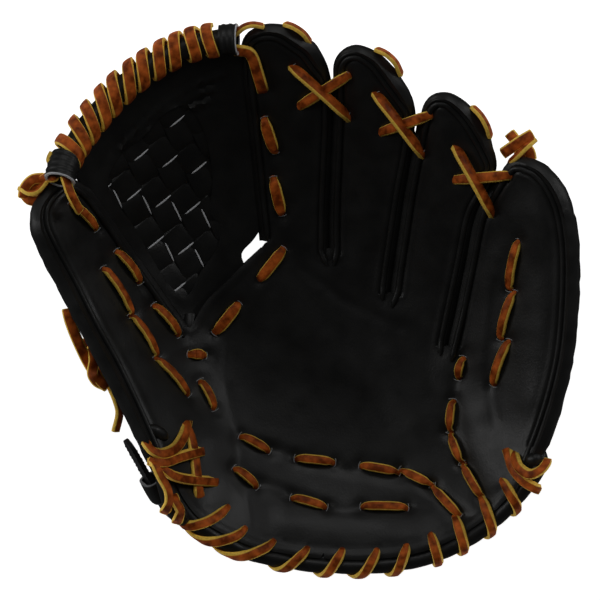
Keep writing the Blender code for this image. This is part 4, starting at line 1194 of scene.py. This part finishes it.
def build_bar():
    """The rolled bar over the web, the lace that wraps it and its two sleeves."""
    count = 160
    path = spline(BAR_PATH, 0.5)
    along = lengths(path)
    want = np.linspace(0, along[-1], count)
    path = pick(want, along, path)
    along = unit(np.gradient(path, axis=0))
    side = unit(np.cross(along, (0, 0, 1)))
    up = np.cross(side, along)
    roll = slice(2, count - 2)
    radius = BAR_RADIUS - 0.1 + 0.25 * noise(want, want * 0, 3.1, 4)
    tube("web_bar_roll", path[roll], radius[roll], WEB_BEND, ("web_bar",), sides=22,
         across=side[roll])
    turns, first, last = len(WRAP_LEAN) - 1, 14, 147
    t = np.linspace(0, 1, turns * 26)
    angle = t * turns * 2 * math.pi
    lean_by = np.interp(t * turns, range(len(WRAP_LEAN)), WRAP_LEAN)
    at = first + t * (last - first) - lean_by * np.cos(angle) / (want[-1] / (count - 1))
    centre, sides, ups, alongs = (pick(at, np.arange(count), v) for v in (path, side, up, along))
    wobble = 0.35 * np.sin(t * 37.0) + 0.25 * np.sin(t * 91.0)
    radius = BAR_RADIUS + 1.5 + 1.1 * np.maximum(0, np.cos(angle))
    round_bar = unit(sides) * np.cos(angle)[:, None] + unit(ups) * np.sin(angle)[:, None]
    helix = centre + round_bar * radius[:, None] + unit(alongs) * wobble[:, None]
    bundle("web_bar_wraps", [lace_mesh(helix, unit(alongs), 6.0, 2.2, cuts=(0.75, 0.3))], LACE,
           WEB_BEND, ("web_bar_lace",))
    collar("index", path[:12], side[:12], 0, WEB_BEND)
    collar("thumb", path[142:], side[142:], -1, "thumb")


def collar(end, path, side, pale, hold):
    """A short leather sleeve with a pale cut rim at its outer end."""
    n, ring = len(path), circle(28)
    radius = 7.9 + 0.25 * np.sin(np.arange(n) * 1.7)
    outer = sweep_points(path, side, ring[None] * radius[:, None, None])
    inner = sweep_points(path, side, ring * 6.4)
    edge = np.zeros((2, n, 28))
    edge[:, pale] = 1
    faces = grid_faces(2 * n, 28, close_rows=True, close_columns=True)
    piece("web_collar_%s_end" % end, np.concatenate([outer, inner[::-1]]).reshape(-1, 3), faces,
          LEATHER, hold, ("web_collar_" + end,),
          attrs={"edge": np.concatenate([edge[0], edge[1][::-1]]).ravel()})


def build_knots():
    """Knots and tails at the thumb's tip, the little finger's tip and behind the thumb."""
    strips("knot_thumb_tip", [
        ([(-138, 51, 102), (-137, 56, 105), (-133, 60, 106.5), (-127.5, 60.8, 105)], 0.1),
        ([(-138.6, 55.5, 102), (-134.5, 53.5, 107), (-130.5, 54.5, 108), (-126.5, 59, 106)], 1.25),
        ([(-137.5, 53, 101), (-134.5, 49.8, 103), (-130, 50, 103), (-127.3, 54, 102)], 0.0),
        ([(-137, 54, 102), (-134, 57, 104), (-131, 57.5, 104), (-127, 55.5, 102)], 0.1),
        ([(-132, 50, 100), (-129, 53, 101.5), (-126, 58, 103), (-122, 61.5, 106)], 0.2),
    ], "thumb", 5.4, ("thumb_tip_knot",))
    strips("knot_little_tip", [
        ([(104.5, 83.2, 98), (107, 80, 99.5), (110, 75, 99.5), (112.5, 69, 96)], 0.0),
        ([(111.5, 77, 98), (114.3, 74, 98.5), (115.3, 70, 97)], 0.1),
        ([(101.3, 73.2, 98), (105, 75.8, 102), (110, 79.2, 103), (115.8, 82.6, 101)], 0.0),
        ([(104.8, 68.8, 97), (108, 71.8, 103), (112, 75.8, 104.4), (116.3, 79.6, 101)], 1.25),
        ([(109.5, 74, 97), (109.8, 70, 96), (110, 66, 92)], 0.0),
    ], "little", 5.8, ("little_tip_knot",))
    tails = [
        ([(-117.5, 63, 110), (-116.3, 60, 113), (-114.2, 53.6, 113.5), (-111.5, 48, 111),
          (-109.5, 44.5, 106)], 0.5),
        ([(-120, 64.5, 109), (-122.5, 61, 111), (-126, 61, 108), (-130, 58, 104)], 0.0),
    ]
    strips("thumb_tip_ties", tails, "thumb", 5.0)
    strips("thumb_back_ties", [
        ([(-116.6, -5, 66), (-115, -11, 70.5), (-111.5, -20, 71), (-106.3, -31, 68),
          (-100.5, -40, 64), (-97, -43.5, 60)], 0.25),
        ([(-104, -24, 66), (-103, -30, 72), (-103.6, -34, 72), (-103.8, -37.5, 68),
          (-101.5, -41, 63), (-97, -43, 60)], 0.3),
        ([(-108, -19, 60), (-104, -29, 60), (-99, -38, 61), (-93, -42, 60)], -0.2),
        ([(-95, -43, 58), (-92, -50, 59), (-90.5, -57, 57), (-92.5, -66, 55)], 1.0),
    ], "thumb", 5.6, ("thumb_back_lace",))
    strips("index_tip_tie", [
        ([(-32, 133, 100), (-28, 136, 104), (-23.5, 137.2, 105), (-18.5, 136.5, 103)], 1.1)], "hand",
        4.6)
    for name, points in (("index_tip_back", [(-7, 137.5), (-3, 136), (1.5, 133), (4.8, 129)]),
                         ("middle_tip_back", [(38.5, 124.8), (43, 122.6), (47.5, 118.4),
                                              (50.3, 113)]),
                         ("ring_tip_back", [(86.2, 96), (90, 92), (93, 87), (94.8, 82)])):
        path = lifted([(x, y, -drop) for (x, y), drop in zip(points, (6, 2.6, 2.6, 6))])
        strips(name, [(path, 1.15)], "hand", 5.0)


def strips(name, laces, hold, width, nodes=()):
    """Laces along 3-D plan points, with their faces up and turned by an angle."""
    parts = []
    for points, turn in laces:
        path = spline(points, 0.9)
        level = unit(level_across(path))
        up = np.cross(level, unit(np.gradient(path, axis=0)))
        across = level * math.cos(turn) + up * math.sin(turn)
        parts.append(lace_mesh(path, across, width))
    return bundle(name, parts, LACE, hold, nodes)


# ---------------------------------------------------------------- wrist and inside

STRAP_TIP = ((-66, -108, 52), (-87, -70, 70))
STRAP_ACROSS = (0.14, 0.08, 0.98)


def build_strap_end():
    """The ribbed end of the wrist strap and the keeper that it slides in."""
    start, end = np.array(STRAP_TIP[0], float), np.array(STRAP_TIP[1], float)
    along = unit(end - start)
    side = unit(np.array(STRAP_ACROSS) - along * np.dot(STRAP_ACROSS, along))
    up = np.cross(side, along)
    n = 60
    t = np.linspace(0, 1, n)
    path = start + (end - start) * t[:, None]
    width = 6.4 * np.sqrt(np.clip(1 - np.maximum(0, (t - 0.86) / 0.14) ** 2, 0.02, 1))
    rib = 0.28 * (np.sin(np.arange(n) * math.pi / 1.5) > 0) * (t > 0.25) * (t < 0.92)
    rows = []
    for k in range(n):
        w, h = width[k], 1.1 + rib[k]
        ring = [(w, -h), (w, h), (w * 0.6, h), (-w * 0.6, h), (-w, h), (-w, -h)]
        rows.append([path[k] + side * a + up * b for a, b in ring])
    points = np.array(rows).reshape(-1, 3)
    piece("strap_tab", points, capped(n, 6), TAB, "strap_end", ("wrist_strap_tip",),
          sharp=25)
    centre = start + (end - start) * 0.4 + (2.2, -1.4, 0)
    turn = circle(36)
    oval = np.sign(turn) * np.abs(turn) ** (0.5, 0.8) * (7.6, 4.6)
    rings, edge = [], []
    # The loop's outer face from end to end, then its inner face back: place along and growth.
    for at, grow in ((-5.7, 0.9), (-2, 1.1), (2, 1.1), (5.7, 0.9), (5.7, -0.6), (2, -0.6),
                     (-2, -0.6), (-5.7, -0.6)):
        rings.append([centre + along * at + side * a + up * b
                      for a, b in oval + unit(oval) * grow])
        edge += [0.42 if abs(at) > 5 else 0.0] * len(oval)
    piece("strap_keeper_loop", np.array(rings).reshape(-1, 3),
          grid_faces(len(rings), len(oval), close_rows=True, close_columns=True), LEATHER, "thumb",
          ("strap_keeper",), attrs={"edge": edge})


def sheet_of(name, outline, height, material, thickness, hold, nodes, step=5.0):
    """A soft panel: an outline filled and given a rounded thickness."""
    loop = resample(spline(outline + outline[:1], 2.0), step * 0.7)[:-1]
    flat, faces = filled(loop, (), step)
    z = height(flat[:, 0], flat[:, 1])
    obj = piece(name, np.column_stack([flat, z]), faces, material, hold, nodes,
                modify=thick(thickness, 1))
    return obj


def under(offset):
    """A height function for a layer that distance from the catching face."""
    def height(x, y):
        return bowl(x, y) + offset * steepness(x, y) + 0.25 * noise(x, y, 11, 6)
    return height


def flat_height(z):
    def height(x, y):
        return z + 0.25 * noise(x, y, 14, 7)
    return height


def build_inside():
    """Pads, lining, back, wrist strap, side walls, finger loops and stiff strips."""
    palm = [(-28, -24), (-12, 10), (12, 12), (40, -4), (60, -26), (64, -50), (72, -92),
            (62, -108), (30, -112), (0, -110), (-14, -104), (-22, -60)]
    sheet_of("felt_palm", palm, under(-7.2), FELT, 4.2, "hand", ("palm_pad",))
    sheet_of("lining_palm", palm, under(-12.6), LINING, 1.2, "hand",
             ("palm_lining",))
    sheet_of("felt_thumb", [(-42, -86), (-46, -66), (-53, -48), (-60, -43), (-66, -49),
                            (-60, -66), (-50, -82)], under(-7.4), FELT, 4.0, "thumb",
             ("thumb_pad",))
    sheet_of("felt_little", [(90, -50), (100, -48), (112, -53), (105, -75), (99, -86), (95, -84),
                             (89, -60)], under(-7.4), FELT, 4.0, "little", ("little_pad",))
    back = [(-16, 26), (12, 20), (42, 0), (70, -27), (74, -40), (76, -66), (30, -70), (-22, -68),
            (-34, -40), (-40, -10), (-32, 8)]
    sheet_of("back_panel", back, flat_height(2.4), LEATHER, 2.0, "hand", ("back_of_hand",),
             4.0)
    sheet_of("strap_fleece", [(-8, -81), (52, -79), (52, -97), (-8, -100)], flat_height(7.4),
             FLEECE, 3.4, "hand", ("wrist_strap_pad",), 3.0)
    build_wrist_band()
    build_side_walls()
    edge = spline(PALM_TOP_EDGE, 2.0)[8:] + (1.2, -1.2)
    rows = []
    for t in np.linspace(0, 1, 14):
        top = bowl(edge[:, 0], edge[:, 1]) - 3.0
        bow = 1.2 * math.sin(math.pi * t)
        rows.append(np.column_stack([edge - inward(edge) * bow, top + (2.6 - top) * t]))
    points = np.stack(rows)
    piece("crotch_wall", points.reshape(-1, 3), grid_faces(14, len(edge)), LEATHER, "hand",
          ("crotch_gusset",), modify=thick(2.0, offset=0))
    loop_strap("thumb_finger_loop", (-69, -38, 40), (-0.52, 0.85), 9, 8, "thumb", "thumb_loop")
    loop_strap("little_finger_loop", (104, -30, 38), (0.1, 1), 11, 10, "little", "little_loop")
    stiff_strip("thumb_stiff_strip", THUMB, 5 / 44, 17 / 44, "thumb", "thumb_stiffener")
    stiff_strip("little_stiff_strip", LITTLE, 27 / 44, 39 / 44, "little", "little_stiffener")


def build_wrist_band():
    """The strap across the wrist, which climbs at each end to the heel."""
    halves = (("wrist_band", [(20, -91, 1.8), (50, -90.5, 2.0), (72, -89, 6), (88, -88, 20),
                              (97, -86.5, 42), (101, -85, 64)], LITTLE_BEND, ("wrist_strap",)),
              ("wrist_band_thumb_side", [(21, -91, 1.8), (-6, -92, 2.0), (-27, -93.5, 8),
                                         (-41, -94, 22), (-49, -93.5, 42), (-52, -92, 60)],
               THUMB_BEND, ()))
    ring = np.array([(13.6, -0.9), (13.9, 0), (13.6, 0.9), (12, 1.25), (0, 1.35), (-12, 1.25),
                     (-13.6, 0.9), (-13.9, 0), (-13.6, -0.9), (-12, -1.2), (0, -1.2),
                     (12, -1.2)])[::-1]
    for name, route, hold, nodes in halves:
        path = spline(route, 2.0)
        n = len(path)
        t = np.linspace(0, 1, n)
        sections = np.broadcast_to(ring, (n, *ring.shape)).copy()
        sections[..., 0] *= (1 - 0.45 * t**2)[:, None]
        points = sweep_points(path, np.tile((0, 1.0, 0), (n, 1)), sections).reshape(-1, 3)
        piece(name, points, capped(n, len(ring)), LEATHER, hold, nodes)


def lofted(name, low, high, bulge, hold):
    """A leather wall between two edges, bulging outwards between them."""
    rows, columns = 16, 48
    sides = []
    for edge in (low, high):
        fine = resample(spline(edge, 1.0), 1.0)
        sides.append(pick(np.linspace(0, 1, columns), np.linspace(0, 1, len(fine)), fine))
    low, high = sides
    points = np.stack([low + (high - low) * t + np.array(bulge) * math.sin(math.pi * t)
                       for t in np.linspace(0, 1, rows)]).reshape(-1, 3)
    points[:, 2] += 0.3 * noise(points[:, 1] + points[:, 0], points[:, 2], 9, 9)
    piece(name, points, grid_faces(rows, columns), LEATHER, hold,
          modify=thick(2.0, offset=0, even=False))


def build_side_walls():
    """The sides of the hand between its back and the palm, and the facing inside the heel."""
    back = [(-31, 8, 3), (-39, -10, 3), (-36, -28, 3), (-33, -42, 3), (-24, -66, 3)]
    front = [(-44, 0), (-54, -17), (-56, -38), (-55, -60), (-52, -88)]
    lofted("side_wall_thumb", back, raised(front, -15), (-3, 0, 0), THUMB_BEND)
    back = [(69, -27, 3), (73, -40, 3), (76, -66, 3)]
    front = [(82, -18), (87, -45), (92, -84)]
    lofted("side_wall_little", back, raised(front, -15), (3, 0, 0), LITTLE_BEND)
    line = spline(HEEL_EDGE, 2.0)
    line = line[(line[:, 0] > -50) & (line[:, 0] < 100)]
    into = inward(line)
    rows = 12
    for side, keep, hold, _ in heel_sides(line[:, 0]):
        points = np.stack([raised((line + into * (19 * t - 1.5))[keep], -4.5 - 13 * math.sqrt(t))
                           for t in np.linspace(0, 1, rows)]).reshape(-1, 3)
        piece("heel_facing_" + side, points, grid_faces(rows, int(keep.sum())), LEATHER, hold,
              modify=thick(1.2, offset=0, even=False))


def loop_strap(name, centre, along, half, high, hold, node):
    """A narrow strap that arches over one finger inside the glove."""
    along = np.array((*along, 0.0)) / math.hypot(*along)
    side = np.array([along[1], -along[0], 0])
    turns = np.linspace(0, math.pi, 28)
    path = np.array([np.array(centre) + side * half * math.cos(t) + (0, 0, high * math.sin(t))
                     for t in turns])
    ring = np.array([(6, -0.5), (6.1, 0.4), (5.4, 0.8), (-5.4, 0.8), (-6.1, 0.4), (-6, -0.5),
                     (0, -0.8)])[::-1]
    points = sweep_points(path, np.tile(along, (len(path), 1)), ring).reshape(-1, 3)
    piece(name, points, capped(len(path), len(ring)), LEATHER, hold, (node,))


def stiff_strip(name, outline, first, last, hold, node):
    """A plastic strip inside a stall's outer side, between two parts of its outline."""
    u = stations(outline, SEAM_STATIONS)[int(first * SEAM_STATIONS):int(last * SEAM_STATIONS)]
    path = raised(u[:, :2] + inward(u) * (u[:, 2:3] + 4.0), -14)
    ring = np.array([(0.5, -5.2), (0.6, 5.0), (0, 5.5), (-0.6, 5.0), (-0.5, -5.2), (0, -5.5)])[::-1]
    points = sweep_points(path, level_across(path), ring).reshape(-1, 3)
    piece(name, points, capped(len(path), len(ring)), SHEET, hold, (node,))


# ---------------------------------------------------------------- stage

def aim(obj, spot):
    d = Vector(spot) - obj.location
    obj.rotation_euler = d.to_track_quat("-Z", "Y").to_euler()


def area(name, place, spot, size, power, matt=True, shine=True):
    """An area light that is seen by matt reflection, by shine, or by both."""
    light = bpy.data.lights.new(name, "AREA")
    light.shape = "RECTANGLE"
    light.size, light.size_y = size
    light.energy = power
    obj = bpy.data.objects.new(name, light)
    bpy.context.scene.collection.objects.link(obj)
    obj.location = place
    obj.visible_diffuse = matt
    obj.visible_glossy = shine
    aim(obj, spot)


SENSOR = 36
CAMERA_HEIGHT = 6.0
PICTURE_WIDTH = 0.3  # metres of glove across the picture, at 0.08 m above the floor


def build_stage():
    """White paper, a faint sky, four lights and the camera straight above."""
    scene = bpy.context.scene
    bpy.ops.mesh.primitive_plane_add(size=12, location=(0, 0, -0.4 * MM))
    floor = bpy.context.object
    floor.name = "floor"
    paper = plain("paper", (0.9, 0.9, 0.9), 0.9)
    glow = paper.node_tree.nodes["Principled BSDF"].inputs
    glow["Emission Color"].default_value = (1, 1, 1, 1)
    glow["Emission Strength"].default_value = 0.95
    floor.data.materials.append(paper)
    floor.visible_glossy = False
    world = bpy.data.worlds.new("studio")
    world.use_nodes = True
    world.node_tree.nodes["Background"].inputs["Color"].default_value = (1, 1, 1, 1)
    world.node_tree.nodes["Background"].inputs["Strength"].default_value = 0.025
    scene.world = world
    area("key", (-0.1, 0.62, 1.5), (0, 0, 0.05), (1.1, 0.7), 5.4, shine=False)
    area("heel", (0.0, 1.25, 1.2), (0, 0, 0.05), (1.2, 0.5), 3.6, matt=False)
    area("left", (-1.5, 0.35, 0.65), (-0.05, 0, 0.05), (0.5, 1.0), 5.0)
    area("right", (1.35, 0.75, 0.7), (0.05, 0, 0.05), (0.4, 0.8), 3.4)
    camera = bpy.data.objects.new("camera", bpy.data.cameras.new("camera"))
    scene.collection.objects.link(camera)
    camera.data.sensor_width = SENSOR
    camera.data.lens = SENSOR * (CAMERA_HEIGHT - 0.08) / PICTURE_WIDTH
    camera.data.clip_end = 20
    camera.location = (-CENTRE[0] * MM, -CENTRE[1] * MM, CAMERA_HEIGHT)
    camera.rotation_euler = (0, 0, 0)
    scene.camera = camera
    scene.view_settings.view_transform = "Standard"


def main():
    build_front()
    for name, outline in (("index", INDEX), ("middle", MIDDLE), ("ring", RING)):
        build_stall(name, outline, FINGER_DEPTH, "hand")
    build_stall("thumb", THUMB, THUMB_DEPTH, "thumb", last=24, pairs=70)
    build_stall("little", LITTLE, LITTLE_DEPTH, "little", first=27, pairs=70)
    build_welt("index", INDEX, "hand", end=[(11.6, 19.5, -0.2), (13.6, 17.2, -0.1), (16.2, 17.0, 0)])
    build_welt("middle", MIDDLE, "hand", start=[(17.2, 17.5, 0)],
               end=[(41.5, 0, -0.2), (42, -3.2, -0.2), (44.5, -4.6, -0.1)])
    build_welt("ring", RING, "hand", start=[(46.2, -4, -0.1)],
               end=[(70.4, -28, -0.2), (71.4, -31, -0.1), (74, -32, 0)])
    build_welt("thumb", THUMB, "thumb", first=18, last=158)
    build_welt("little", LITTLE, "little", first=50, start=[(76, -31, 0)])
    for name, outline, hold, first, last in (
            ("index", INDEX, "hand", 62, 128), ("middle", MIDDLE, "hand", 66, 128),
            ("ring", RING, "hand", 74, 138), ("thumb", THUMB, "thumb", 18, 106),
            ("little", LITTLE, "little", 96, 196)):
        build_band(name, outline, hold, first, last)
    build_lacing()
    build_crossings()
    build_heel()
    build_heel_lace()
    build_corner()
    build_plugs()
    hole = build_web_frame()
    build_weave(hole)
    build_bar()
    build_knots()
    build_strap_end()
    build_inside()
    build_stage()


main()
